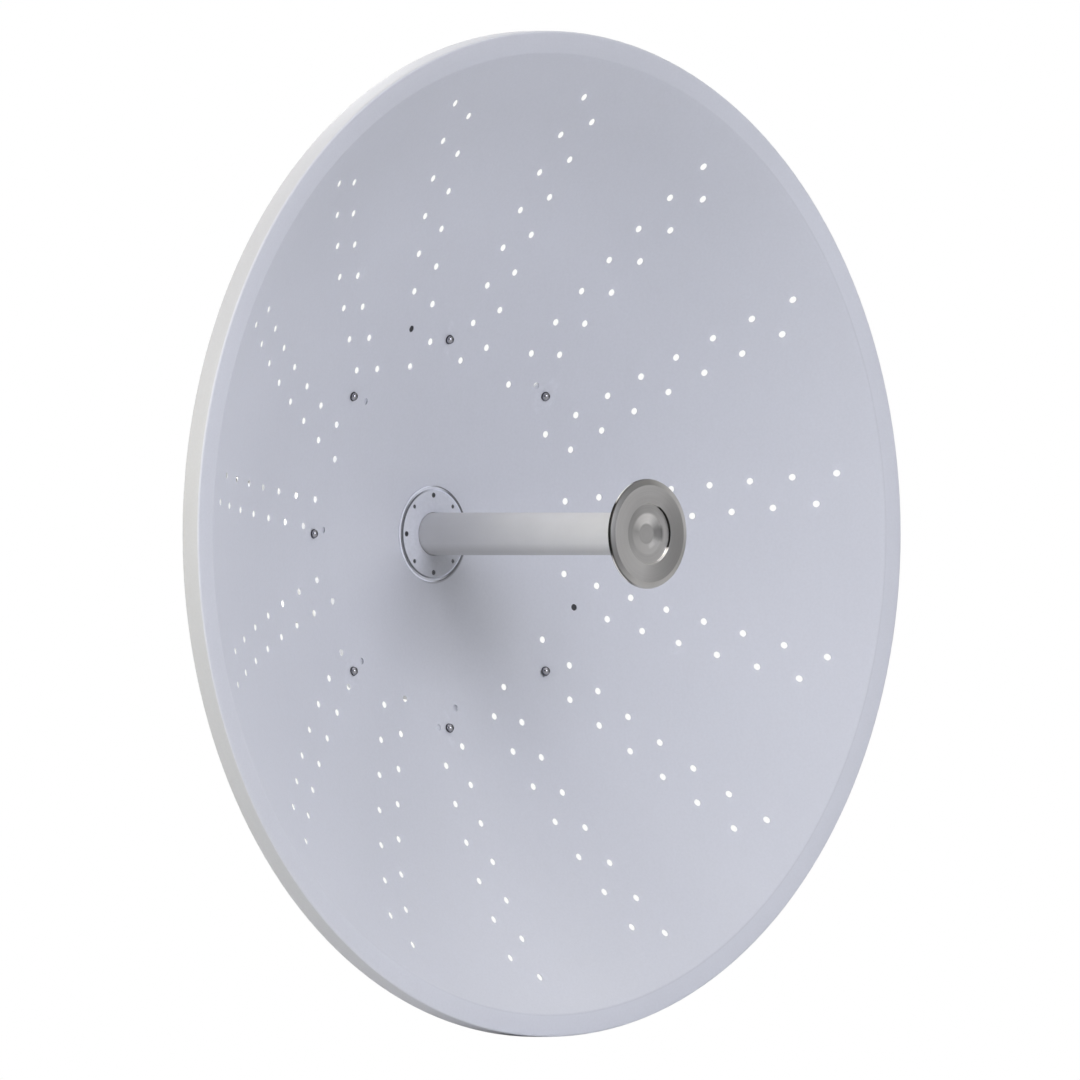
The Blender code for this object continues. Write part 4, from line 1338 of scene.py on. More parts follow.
@dataclass
class Reflector:
    """Perforated bowl with a flat rim band and a skirt behind it."""

    shop: Workshop
    radius: float = 0.450
    curve_radius: float = 0.700
    sheet: float = 0.0007
    band_sheet: float = 0.0015
    hole: float = 0.021
    bowl_edge: float = 0.430
    band_rise: float = 0.0009
    crease: float = 0.0035
    rim_corner: float = 0.0022
    inner_corner: float = 0.0008
    skirt: float = 0.020
    skirt_edge: float = 0.0005
    rings: int = 40
    steps: int = 180
    spokes: int = 15
    first_spoke: float = math.radians(6.0)
    wind_hole: float = 0.003
    wind_hole_sides: int = 20
    punch: float = 0.5
    square_on: float = 0.9
    pitch: float = 0.0344
    row_offset: float = 0.0129
    row_start: float = 0.1558
    long_row: int = 8
    short_row: int = 7
    bolts: int = 8
    bolt_circle: float = 0.174
    bolt_hole: float = 0.0029
    drill: float = 0.01

    def height(self, radius: float, drop: float = 0.0) -> float:
        """Height of the bowl at a radius, a distance behind its front surface."""
        return self.curve_radius - math.sqrt((self.curve_radius + drop) ** 2 - radius ** 2)

    def square(self, x: float, y: float) -> Matrix:
        """Find the way out of the bowl at a point.

        Args:
            x: how far to the right of the axis.
            y: how far above it.

        Returns:
            A matrix that stands a piece on the bowl's face.
        """
        at = Vector((x, y, self.height(math.hypot(x, y))))
        way = Vector((0.0, 0.0, self.curve_radius)) - at
        return Matrix.Translation(at) @ way.to_track_quat("Z", "Y").to_matrix().to_4x4()

    def bolt_places(self) -> dict[str, float]:
        """Inputs that stand a piece square to the bowl at every bolt."""
        circle, lean = self.bolt_circle, math.asin(self.bolt_circle / self.curve_radius)
        return {"Count": self.bolts, "Ring_Radius": circle, "Height": self.height(circle), "Lean": lean}

    def bowl(self, drop: float) -> list[Point]:
        """One side of the bowl, a distance behind its front surface, from the centre hole to the band."""
        spans = [(self.bowl_edge - self.hole) / self.rings * i for i in range(self.rings + 1)]
        return [(self.hole + span, self.height(self.hole + span, drop)) for span in spans]

    def outline(self) -> list[Point]:
        """Draw the sheet in section, with a soft crease where bowl and band meet.

        Returns:
            A closed outline.
        """
        front, back = self.bowl(0.0), self.bowl(self.sheet)
        band = self.height(self.bowl_edge) + self.band_rise
        end = band - self.skirt
        inner = self.radius - self.band_sheet
        outside = rounded(
            [
                front[-2], (*front[-1], self.crease), (self.radius, band, self.rim_corner),
                (self.radius, end, self.skirt_edge), (inner, end),
            ], 5, closed=False,
        )
        inside = rounded(
            [
                back[-2], (*back[-1], self.crease), (inner, band - self.band_sheet, self.inner_corner),
                (inner, end),
            ], closed=False,
        )
        return front[:-2] + outside + inside[::-1][1:] + back[:-2][::-1]

    def drilled(self, mesh: Mesh) -> Mesh:
        """Drill the wind holes and the bolt holes.

        Args:
            mesh: the plain sheet.

        Returns:
            The sheet with its holes.
        """
        shop, coat = self.shop, self.shop.material(COAT)
        wind = shop.holes.run(
            mesh, coat, Spokes=self.spokes, First_Spoke=self.first_spoke, Pitch=self.pitch,
            Offset=self.row_offset, Start=self.row_start, Long_Row=self.long_row,
            Short_Row=self.short_row, Hole_Radius=self.wind_hole, Hole_Sides=self.wind_hole_sides,
            Reach=self.punch,
        )
        drill = prism(24, self.bolt_hole, -self.drill, self.drill)
        return combined(wind, Cut.DIFFERENCE, shop.ring.run(drill, coat, **self.bolt_places()))

    def true_normals(self, mesh: Mesh) -> None:
        """Give the bowl's faces the normals of its sphere, so that no hole disturbs its sheen.

        Args:
            mesh: the drilled sheet.
        """
        smooth(mesh)
        centre = Vector((0.0, 0.0, self.curve_radius))
        normals = [corner.vector.copy() for corner in mesh.corner_normals]
        edge = self.bowl_edge - 2 * self.crease
        for face in mesh.polygons:
            facing = face.normal.dot((centre - face.center).normalized())
            if abs(facing) < self.square_on or math.hypot(face.center.x, face.center.y) > edge:
                continue
            side = 1.0 if facing > 0 else -1.0
            for loop in face.loop_indices:
                at = mesh.vertices[mesh.loops[loop].vertex_index].co
                normals[loop] = (centre - at).normalized() * side
        mesh.normals_split_custom_set(normals)

    def build(self) -> None:
        """Turn the sheet, drill it and hand it over."""
        mesh = self.drilled(turned("reflector", self.outline(), self.steps, closed=True))
        self.true_normals(mesh)
        nodes = ["reflector_centre", "reflector_rim", *numbered("reflector_sector", 10)]
        self.shop.hand_over("reflector", mesh, BOWL_COAT_PAINTED_LIGHT, nodes, bend=0.0)


@dataclass
class ReflectorBolts:
    """Domed bolts through the bowl on black sealing washers, with washers and nuts behind it."""

    shop: Workshop
    bowl: Reflector
    head: float = 0.0038
    head_edge: float = 0.0003
    seal: float = 0.0042
    seal_height: float = 0.0012
    dome: float = 0.0044
    dome_steps: int = 9
    shank: float = 0.0025
    point: float = 0.0004
    ear: float = 0.003
    washer: float = 0.0048
    washer_height: float = 0.0008
    nut: float = 0.008
    nut_height: float = 0.004
    tail: float = 0.002
    stop: float = 0.0048
    stop_height: float = 0.0012
    stop_places: tuple[Point, ...] = ((0.1605, -0.0657), (-0.0522, 0.1833))

    def stops(self) -> None:
        """Black rubber stops behind the two wind holes that show dark."""
        top = -(self.bowl.sheet + GAP)
        stop = rod(self.stop, top - self.stop_height, top, EDGE)
        made = [moved(stop, self.bowl.square(*place)) for place in self.stop_places]
        self.shop.hand_over("hole_stops", merged("hole_stops", made), RUBBER)

    def head_outline(self) -> list[Point]:
        """Half section of the domed head, over its rounded foot.

        Returns:
            An open outline that ends on the axis.
        """
        foot = GAP + self.seal_height
        wall = foot + self.head_edge
        rise = GAP + self.dome - wall
        turns = [QUARTER * i / self.dome_steps for i in range(self.dome_steps)]
        curve = [(self.head * math.cos(t), wall + rise * math.sin(t)) for t in turns]
        edge = [(self.head - self.head_edge, foot), (self.head, foot + 0.0002)]
        return edge + curve + [(0.0, GAP + self.dome)]

    def nut_level(self) -> float:
        """Where the washer under the nut meets the ear, measured from the bowl's face."""
        return -(self.bowl.sheet + GAP + self.ear + GAP)

    def bolt_mesh(self) -> Mesh:
        """One bolt, its seal standing on the plane z = 0.

        Returns:
            A closed mesh.
        """
        end = self.nut_level() - self.nut_height - self.tail
        shaft = [(0.0, end), (self.shank - self.point, end), (self.shank, end + self.point)]
        shaft += [(self.shank, GAP + self.seal_height)]
        return turned("bolt", shaft + self.head_outline(), 32)

    def nut_mesh(self) -> Mesh:
        """The nut and washer of one bolt.

        Returns:
            Both in one mesh.
        """
        top = self.nut_level()
        under = top - self.washer_height
        washer = ring_plate(self.shank + FIT, self.washer, under, top)
        return merged("nut", [washer, hex_head(self.nut, top - self.nut_height, under - FIT, True)])

    def build(self) -> None:
        """Set the bolts, their seals and their nuts round the circle."""
        seal = ring_plate(self.shank + FIT, self.seal, GAP, GAP + self.seal_height, EDGE)
        self.stops()
        for name, mesh, finish, nodes in (
            ("reflector_bolts", self.bolt_mesh(), BOLT_STEEL_PAINTED_SHADE, numbered("reflector_bolt", self.bowl.bolts)),
            ("reflector_nuts", self.nut_mesh(), STEEL, ()),
            ("bolt_seals", seal, RUBBER, ()),
        ):
            row = self.shop.ring.run(mesh, self.shop.material(finish), **self.bowl.bolt_places())
            self.shop.hand_over(name, row, finish, nodes)


@dataclass
class Feed:
    """Flange on the bowl and the tube that stands in it."""

    shop: Workshop
    bowl: Reflector
    tube: float = 0.019
    wall: float = 0.002
    tube_edge: float = 0.0004
    rear: float = -0.012
    front: float = 0.262
    flange: float = 0.0432
    flange_thickness: float = 0.0016
    pad: float = 0.0390
    pad_edge: float = 0.0002
    lip_width: float = 0.0034
    lip_foot: float = 0.0002
    lip_height: float = 0.0010
    lip_steps: int = 12
    screws: int = 4
    screw_circle: float = 0.0346
    screw: float = 0.0023
    screw_foot: float = 0.0017
    screw_depth: float = 0.0011
    screw_key: float = 0.0011
    key_depth: float = 0.0007
    seat: float = 0.0026
    seat_foot: float = 0.0019
    small_hole: float = 0.0019
    pin_drop: float = 0.0005
    pin_height: float = 0.0007

    @property
    def flange_back(self) -> float:
        """Height of the flange's rear face."""
        return self.bowl.height(self.flange) + GAP

    @property
    def flange_face(self) -> float:
        """Height of the flange's raised face."""
        return self.flange_back + self.flange_thickness

    def on_screws(self, mesh: Mesh, finish: Finish, first: float = 0.0) -> Mesh:
        """Copies of a mesh on the screw circle, from a first turn on."""
        sizes = {"Count": self.screws, "Ring_Radius": self.screw_circle, "First_Turn": first}
        return self.shop.ring.run(mesh, self.shop.material(finish), **sizes)

    def flange_mesh(self) -> Mesh:
        """Raised plate with a groove and a lower rounded bead round it, drilled for screws and pins.

        Returns:
            A closed mesh.
        """
        low, face = self.flange_back, self.flange_face
        half = self.lip_width / 2
        middle = self.flange - half
        level = low + self.lip_foot
        turns = [math.pi * i / self.lip_steps for i in range(self.lip_steps + 1)]
        bead = [(middle + half * math.cos(t), level + self.lip_height * math.sin(t)) for t in turns]
        inner = self.tube + GAP
        outline = [(inner, low), (self.flange, low), *bead, (self.pad + EDGE, level)]
        outline += [(self.pad, face - self.pad_edge), (self.pad - self.pad_edge, face)]
        outline += [(inner + EDGE, face), (inner, face - EDGE)]
        blank = turned("feed_flange", outline, 128, closed=True)
        over = face + 0.002
        floor = face - self.screw_depth
        cone = [(0.0, floor), (self.seat_foot, floor), (self.seat, face + FIT), (self.seat, over)]
        holes = self.on_screws(prism(20, self.small_hole, low - 0.002, over), COAT, math.pi / 4)
        seats = self.on_screws(turned("seat", cone + [(0.0, over)], 24), COAT)
        return combined(blank, Cut.DIFFERENCE, holes, seats)

    def screw_mesh(self) -> Mesh:
        """Countersunk screws with a hexagon socket, and dark pins in the small holes between them, whose
        dark colour is painted shade of the holes.

        Returns:
            All of them in one mesh.
        """
        face = self.flange_face
        low, top = face - self.screw_depth + SNUG, face - 0.0002
        outline = [(0.0, low), (self.screw_foot, low), (self.screw, top - FIT), (self.screw - FIT, top)]
        body = turned("screw", outline + [(0.0, top)], 24)
        key = prism(6, self.screw_key, top - self.key_depth, top + 0.001)
        # The dark pins stand for the shade inside the small holes: painted shade.
        pin_top = face - self.pin_drop
        pin = rod(self.small_hole - SNUG, pin_top - self.pin_height, pin_top, 0.0002)
        screws = self.on_screws(combined(body, Cut.DIFFERENCE, key), DARK_STEEL)
        return merged("screws", [screws, self.on_screws(pin, DARK_STEEL, math.pi / 4)])

    def tube_mesh(self) -> Mesh:
        """Plain tube with lightly broken edges.

        Returns:
            A closed mesh.
        """
        inner, edge = self.tube - self.wall, self.tube_edge
        corners = [(inner, self.rear), (self.tube, self.rear, edge)]
        corners += [(self.tube, self.front, edge), (inner, self.front)]
        return turned("feed_tube", rounded(corners, 3), 96, closed=True)

    def build(self) -> None:
        """Make the flange, its screws and the tube."""
        self.shop.hand_over("feed_flange", self.flange_mesh(), FLANGE_COAT_PAINTED_LIGHT, ["feed_flange"])
        self.shop.hand_over("flange_screws", self.screw_mesh(), DARK_STEEL)
        self.shop.hand_over("feed_tube", self.tube_mesh(), TUBE_PLASTIC_PAINTED_SHADE, ["feed_tube"])


@dataclass
class Subreflector:
    """Turned disc at the tube's front end, on the flared collar that plugs into the tube."""

    shop: Workshop
    feed: Feed
    plug_length: float = 0.012
    flare: float = 0.003
    collar: float = 0.030
    collar_edge: float = 0.0012
    collar_top: float = 0.2672
    foot: float = 0.040
    radius: float = 0.0492
    wall_back: float = 0.2686
    wall_low: float = 0.2696
    wall_top: float = 0.2704
    bevel: float = 0.0484
    bevel_low: float = 0.2721
    plateau: float = 0.0434
    plateau_top: float = 0.2733
    recess: float = 0.0273
    recess_top: float = 0.2731
    recess_foot: float = 0.0268
    recess_floor: float = 0.2707
    cone: float = 0.0185
    dimple: float = 0.0092
    dimple_floor: float = 0.2692

    def collar_mesh(self) -> Mesh:
        """Flared plug between tube and disc.

        Returns:
            A closed mesh.
        """
        feed, top = self.feed, self.collar_top
        plug = feed.tube - feed.wall - GAP
        seat = feed.front + GAP
        end = feed.front - self.plug_length
        return lathed("collar", [
            (0.0, end), (plug, end, 0.001), (plug, seat), (feed.tube, seat, EDGE),
            (feed.tube + self.flare, seat + 0.0004, self.flare),
            (self.collar, top - self.collar_edge, 0.0008), (self.collar, top, 0.0004), (0.0, top),
        ], 96)

    def disc_mesh(self) -> Mesh:
        """Disc with a bevelled edge, a gently crowned plateau, a sunk recess and a coned dimple.

        Returns:
            A closed mesh.
        """
        back = self.collar_top + GAP
        return lathed("subreflector", [
            (0.0, back), (self.foot, back, 0.001), (self.radius - 0.0006, self.wall_back, EDGE),
            (self.radius, self.wall_low, EDGE), (self.radius, self.wall_top, EDGE),
            (self.bevel, self.bevel_low, EDGE), (self.plateau, self.plateau_top, 0.0006),
            (self.recess, self.recess_top, 0.0004), (self.recess_foot, self.recess_floor, EDGE),
            (self.cone, self.recess_floor, 0.0006), (self.dimple, self.dimple_floor, 0.0006),
            (0.0, self.dimple_floor),
        ], 144)

    def build(self) -> None:
        """Make the collar and the disc."""
        self.shop.hand_over("subreflector_collar", self.collar_mesh(), PLASTIC, ["subreflector_collar"])
        self.shop.hand_over("subreflector", self.disc_mesh(), TURNED, ["subreflector"])


@dataclass
class RearHub:
    """Pressed pan behind the bowl with an ear under each reflector bolt."""

    shop: Workshop
    bowl: Reflector
    radius: float = 0.150
    sheet: float = 0.003
    back: float = -0.016
    back_corner: float = 0.007
    hole: float = 0.030
    pressing: tuple[float, float, float, float] = (0.094, 0.099, 0.113, 0.118)
    pressing_height: float = 0.0018
    pressing_bend: float = 0.004
    ear_thickness: float = 0.003
    ear_outward: float = 0.013
    ear_inward: float = 0.0265
    ear_root: float = 0.0175
    ear_half: float = 0.014
    ear_shoulder: float = 0.0078
    ear_tip: float = 0.007
    bolt_x: float = 0.046
    bolt_y: float = 0.062
    bolt_hole: float = 0.0044

    def pressed(self, level: float) -> list[tuple[float, ...]]:
        """Draw the stiffening ring in one side of the floor.

        Args:
            level: where that side of the floor lies along z.

        Returns:
            Corners of the ring, from the inside out.
        """
        start, rise, fall, end = self.pressing
        high, bend = level + self.pressing_height, self.pressing_bend
        return [(start, level, bend), (rise, high, bend), (fall, high, bend), (end, level, bend)]

    def pan(self) -> Mesh:
        """The pan, with a stiffening ring pressed into its floor.

        Returns:
            A closed mesh.
        """
        inner = self.radius - self.sheet
        mouth = self.bowl.height(inner, self.bowl.sheet) - GAP
        floor = self.back + self.sheet
        corners = [
            (self.hole, floor), *self.pressed(floor), (inner, floor, self.pressing_bend), (inner, mouth),
            (self.radius, mouth, 0.0006), (self.radius, self.back, self.back_corner),
            *self.pressed(self.back)[::-1], (self.hole, self.back),
        ]
        return turned("rear_hub", rounded(corners, 5), 144, closed=True)

    def ear(self) -> Mesh:
        """One ear, lying under the plane z = 0 with its bolt at the origin.

        Returns:
            A closed mesh.
        """
        half, bend = self.ear_half, 0.006
        low_side = [
            (-self.ear_inward, -self.ear_root), (0.0, -half, 0.01), (self.ear_shoulder, -half, bend),
            (self.ear_outward, -self.ear_tip, bend),
        ]
        high_side = [(x, -y, *corner) for x, y, *corner in low_side[::-1]]
        top = -(self.bowl.sheet + GAP)
        return plate("ear", rounded(low_side + high_side, 5), top - self.ear_thickness, top)

    def build(self) -> None:
        """Join pan and ears, drill them and hand the hub over."""
        shop, bowl = self.shop, self.bowl
        coat, places = shop.material(COAT), bowl.bolt_places()
        ears = shop.ring.run(self.ear(), coat, **places)
        drills = shop.ring.run(prism(24, bowl.bolt_hole, -0.02, 0.01), coat, **places)
        corners = shop.corners.run(
            prism(24, self.bolt_hole, -0.01, 0.01), coat,
            Across=2 * self.bolt_x, Up=2 * self.bolt_y, Height=self.back,
        )
        blank = combined(self.pan(), Cut.UNION, ears)
        hub = softened(combined(blank, Cut.DIFFERENCE, drills, corners), 0.0004)
        shop.hand_over("rear_hub", hub, COAT, ["rear_hub"])


@dataclass
class FeedHousing:
    """Casting behind the bowl that takes the tube's rear end and two cable sockets."""

    shop: Workshop
    bowl: Reflector
    feed: Feed
    radius: float = 0.0285
    rear: float = -0.060
    end_radius: float = 0.024
    cover: float = 0.0040
    seam: float = 0.0012
    seam_depth: float = 0.0009
    seam_slope: float = 0.0002
    flange: float = 0.038
    flange_front: float = -0.0206
    flange_thickness: float = 0.004
    lower_socket: float = -0.036
    side_socket: float = -0.046
    boss: float = 0.0118
    boss_root: float = 0.012
    rib_root: float = 0.020
    rib_top: float = 0.0262
    rib_ends: Point = (-0.0530, -0.0240)
    rib_turns: tuple[float, ...] = (0.0, 22.5, 45.0, -22.5, -45.0, -67.5, -90.0)
    screws: int = 4
    screw_circle: float = 0.0325
    cover_circle: float = 0.0175

    def body(self) -> Mesh:
        """Turned body with its flange, a waist and a cover at the end.

        Returns:
            A closed mesh.
        """
        front = self.bowl.height(0.0, self.bowl.sheet) - GAP
        floor = self.feed.rear - GAP
        bore = self.feed.tube + GAP
        back = self.flange_front - self.flange_thickness
        end, dip = self.end_radius, self.end_radius - self.seam_depth
        low = self.rear + self.cover
        high = low + self.seam
        return lathed("feed_housing", [
            (0.0, floor), (bore, floor), (bore, front), (self.radius, front, 0.0006),
            (self.radius, self.flange_front, 0.0006), (self.flange, self.flange_front, 0.0006),
            (self.flange, back, 0.0012), (end, back, 0.002), (end, high, 0.0004),
            (dip, high - self.seam_slope, 0.0002), (dip, low + self.seam_slope, 0.0002), (end, low, 0.0004),
            (end, self.rear + 0.0015, 0.0012), (end - 0.0025, self.rear, 0.0012), (0.0, self.rear),
        ], 96)

    def socket_seats(self, out: float) -> tuple[Matrix, Matrix]:
        """Where the lower and the side socket stand, at a distance from the axis."""
        lower = stood((0.0, -out, self.lower_socket), QUARTER, "X")
        return lower, stood((-out, 0.0, self.side_socket), -QUARTER, "Y")

    def bosses(self) -> list[Mesh]:
        """Round pads under the cable sockets, and ribs along the body beside them.

        Returns:
            The lower pad, the side pad and the ribs.
        """
        pad = prism(40, self.boss, self.boss_root, self.end_radius)
        foot, top = 0.0014, 0.0011
        section = [(-foot, self.rib_root), (foot, self.rib_root), (top, self.rib_top), (-top, self.rib_top)]
        rib = plate("rib", section, *self.rib_ends)
        turns = [Matrix.Rotation(math.radians(turn), 4, "Z") for turn in self.rib_turns]
        ribs = merged("ribs", [moved(rib, turn) for turn in turns])
        return [*[moved(pad, seat) for seat in self.socket_seats(0.0)], ribs]

    def cap_screw(self) -> Mesh:
        """Cap screw of the flange, with a hexagon socket.

        Returns:
            A closed mesh.
        """
        seat = -(self.flange_front - self.flange_thickness) + GAP
        head = rod(0.0034, seat, seat + 0.0036, 0.0004)
        return combined(head, Cut.DIFFERENCE, prism(6, 0.0017, seat + 0.0016, seat + 0.01))

    def cross_screw(self) -> Mesh:
        """Small pan-head screw of the end cover, with a crossed slot.

        Returns:
            A closed mesh.
        """
        seat = -self.rear + SNUG
        pan = [(0.0, seat), (0.0024, seat, EDGE), (0.0021, seat + 0.0012, 0.0008), (0.0, seat + 0.0014)]
        slots = [block(*size, seat + 0.0007, seat + 0.003) for size in ((0.0028, 0.0006), (0.0006, 0.0028))]
        return combined(lathed("cap", pan, 20, 3), Cut.DIFFERENCE, *slots)

    def screw_mesh(self) -> Mesh:
        """The screws of the flange and of the end cover.

        Returns:
            All of them in one mesh.
        """
        steel = self.shop.material(STEEL)
        sizes = {"Count": self.screws, "First_Turn": math.pi / 4}
        outer = self.shop.ring.run(self.cap_screw(), steel, Ring_Radius=self.screw_circle, **sizes)
        inner = self.shop.ring.run(self.cross_screw(), steel, Ring_Radius=self.cover_circle, **sizes)
        return moved(merged("screws", [outer, inner]), Matrix.Rotation(math.pi, 4, "X"))

    def build(self) -> None:
        """Make the casting, its screws and its two sockets."""
        body = softened(combined(self.body(), Cut.UNION, *self.bosses()), 0.0005)
        self.shop.hand_over("feed_housing", body, CASTING, ["feed_housing"])
        self.shop.hand_over("housing_screws", self.screw_mesh(), STEEL)
        names = ("lower_cable_socket", "side_cable_socket")
        for name, place in zip(names, self.socket_seats(self.end_radius + GAP)):
            CableSocket(self.shop, name, place).build()


@dataclass
class CableSocket:
    """Threaded coaxial socket, drawn upright on the plane z = 0 and then turned into place."""

    shop: Workshop
    name: str
    place: Matrix
    base: float = 0.0105
    base_edge: float = 0.0006
    base_height: float = 0.005
    foot_height: float = 0.0012
    barrel: float = 0.0079
    barrel_height: float = 0.011
    mouth: float = 0.0008
    bore: float = 0.0045
    bore_depth: float = 0.009
    insulator_hole: float = 0.0013
    insulator_height: float = 0.0028
    contact: float = 0.0012
    contact_height: float = 0.0052
    contact_bore: float = 0.0006
    thread_depth: float = 0.0005
    thread_pitch: float = 0.00106

    @property
    def top(self) -> float:
        """Height of the barrel's open end."""
        return self.base_height + self.barrel_height

    @property
    def floor(self) -> float:
        """Height at which what stands in the bore starts."""
        return self.top - self.bore_depth + SNUG

    def shell(self) -> Mesh:
        """Hexagonal base, threaded barrel and open bore.

        Returns:
            All of it in one mesh.
        """
        foot, level, top = self.base - self.base_edge, self.foot_height, self.top
        core = self.barrel - self.thread_depth
        end = top - self.bore_depth
        body = lathed(self.name, [
            (0.0, 0.0), (foot, 0.0), (foot, level), (core, level), (core, top - self.mouth),
            (core - 0.0007, top, EDGE), (self.bore, top), (self.bore, end), (0.0, end),
        ], 48, 3)
        hexagon = hex_head(2 * self.base * 0.9, level, self.base_height)
        ring = combined(hexagon, Cut.DIFFERENCE, prism(40, core + SNUG, -0.001, 0.01))
        length = self.barrel_height - 0.0026
        threaded = self.shop.thread.run(
            body, self.shop.material(NICKEL), Core_Radius=core, Depth=self.thread_depth,
            Turns=length / self.thread_pitch, Length=length, Base=self.base_height + 0.001, Steps=28,
        )
        return merged(self.name, [threaded, ring])

    def insulator_mesh(self) -> Mesh:
        """White insulator ring at the bottom of the bore."""
        floor = self.floor
        return ring_plate(self.insulator_hole, self.bore - FIT, floor, floor + self.insulator_height)

    def contact_mesh(self) -> Mesh:
        """Slotted centre contact.

        Returns:
            A closed mesh.
        """
        wide, narrow = self.contact, self.contact_bore
        floor, top = self.floor, self.floor + self.contact_height
        end = top - 0.003
        corners = [(0.0, floor), (wide, floor), (wide, top, EDGE), (narrow, top), (narrow, end), (0.0, end)]
        pin = lathed("contact", corners, 24, 2)
        return combined(pin, Cut.DIFFERENCE, block(0.004, 0.0004, top - 0.002, top + 0.001))

    def build(self) -> None:
        """Make the socket, its insulator and its contact."""
        for name, mesh, finish, nodes in (
            (self.name, self.shell(), NICKEL, [self.name]),
            (f"{self.name}_insulator", self.insulator_mesh(), INSULATOR, ()),
            (f"{self.name}_contact", self.contact_mesh(), NICKEL, ()),
        ):
            self.shop.hand_over(name, moved(mesh, self.place), finish, nodes)


@dataclass
class PlateWork:
    """Bent zinc-coated plates taken over from the CAD, with their folds and edges rounded.

    Attributes:
        edge: how far the sharp edges are broken.
        fold: radius of the outer folds.
        fold_length: a fold is at least this long.
        fold_angle: a fold turns by at least this much.
        fold_area: each face beside a fold is at least this large.
    """

    shop: Workshop
    edge: float = 0.0005
    fold: float = 0.0045
    fold_length: float = 0.030
    fold_angle: float = math.radians(60)
    fold_area: float = 0.0012

    def bent(self, node: str) -> Mesh:
        """A welded copy of a CAD plate whose long outer corners are rolled to a bend.

        Args:
            node: the CAD node.

        Returns:
            The plate in the row's frame.
        """
        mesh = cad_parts[node].data.copy()
        with edited(mesh) as bm:
            welded(bm)
            folds = [edge for edge in bm.edges if self.is_fold(edge)]
            bmesh.ops.bevel(
                bm, geom=folds, offset=self.fold, segments=6, profile=0.5, affect="EDGES", clamp_overlap=True
            )
        return mesh

    def is_fold(self, edge: bmesh.types.BMEdge) -> bool:
        """Tell a fold from the other edges.

        Args:
            edge: an edge of the plate.

        Returns:
            True for a long outer corner between two broad faces.
        """
        if len(edge.link_faces) != 2 or not edge.is_convex or edge.calc_length() < self.fold_length:
            return False
        if edge.calc_face_angle() < self.fold_angle:
            return False
        return all(face.calc_area() > self.fold_area for face in edge.link_faces)

    def build(self) -> None:
        """Round and dress the four plate pieces."""
        back = self.shop.axis.to_row.inverted()
        for node in ("elevation_bracket", "mast_bracket", "upper_clamp_jaw", "lower_clamp_jaw"):
            mesh = softened(self.bent(node), self.edge)
            mesh.transform(back)
            self.shop.hand_over(node, mesh, ZINC, [node])


@dataclass(frozen=True)
class HexBolt:
    """A size of hexagon bolt, with a washer under its head and under its nut.

    Attributes:
        radius: shank radius.
        across: size across the flats.
        height: height of the head, or of the nut, with its washer.
        washer: thickness of a washer.
        rim: radius of a washer, as a share of the size across the flats.
        tail: how far the shank stands out of the nut.
    """

    radius: float
    across: float
    height: float
    washer: float = 0.0014
    rim: float = 0.56
    tail: float = 0.002

    def mesh(self, grip: float, lift: float = 0.0) -> Mesh:
        """The bolt with its head above z = 0.

        Args:
            grip: thickness of what it holds.
            lift: where the head's washer starts.

        Returns:
            Bolt, washers and nut in one mesh.
        """
        hole, rim = self.radius + FIT, self.across * self.rim
        top = -(grip + GAP)
        low = top - self.height
        seat = lift + self.washer
        return merged("bolt", [
            rod(self.radius, low - self.tail, seat + 0.0005), ring_plate(hole, rim, lift, seat),
            hex_head(self.across, seat + SNUG, lift + self.height),
            ring_plate(hole, rim, top - self.washer, top),
            hex_head(self.across, low, top - self.washer - SNUG, True),
        ])


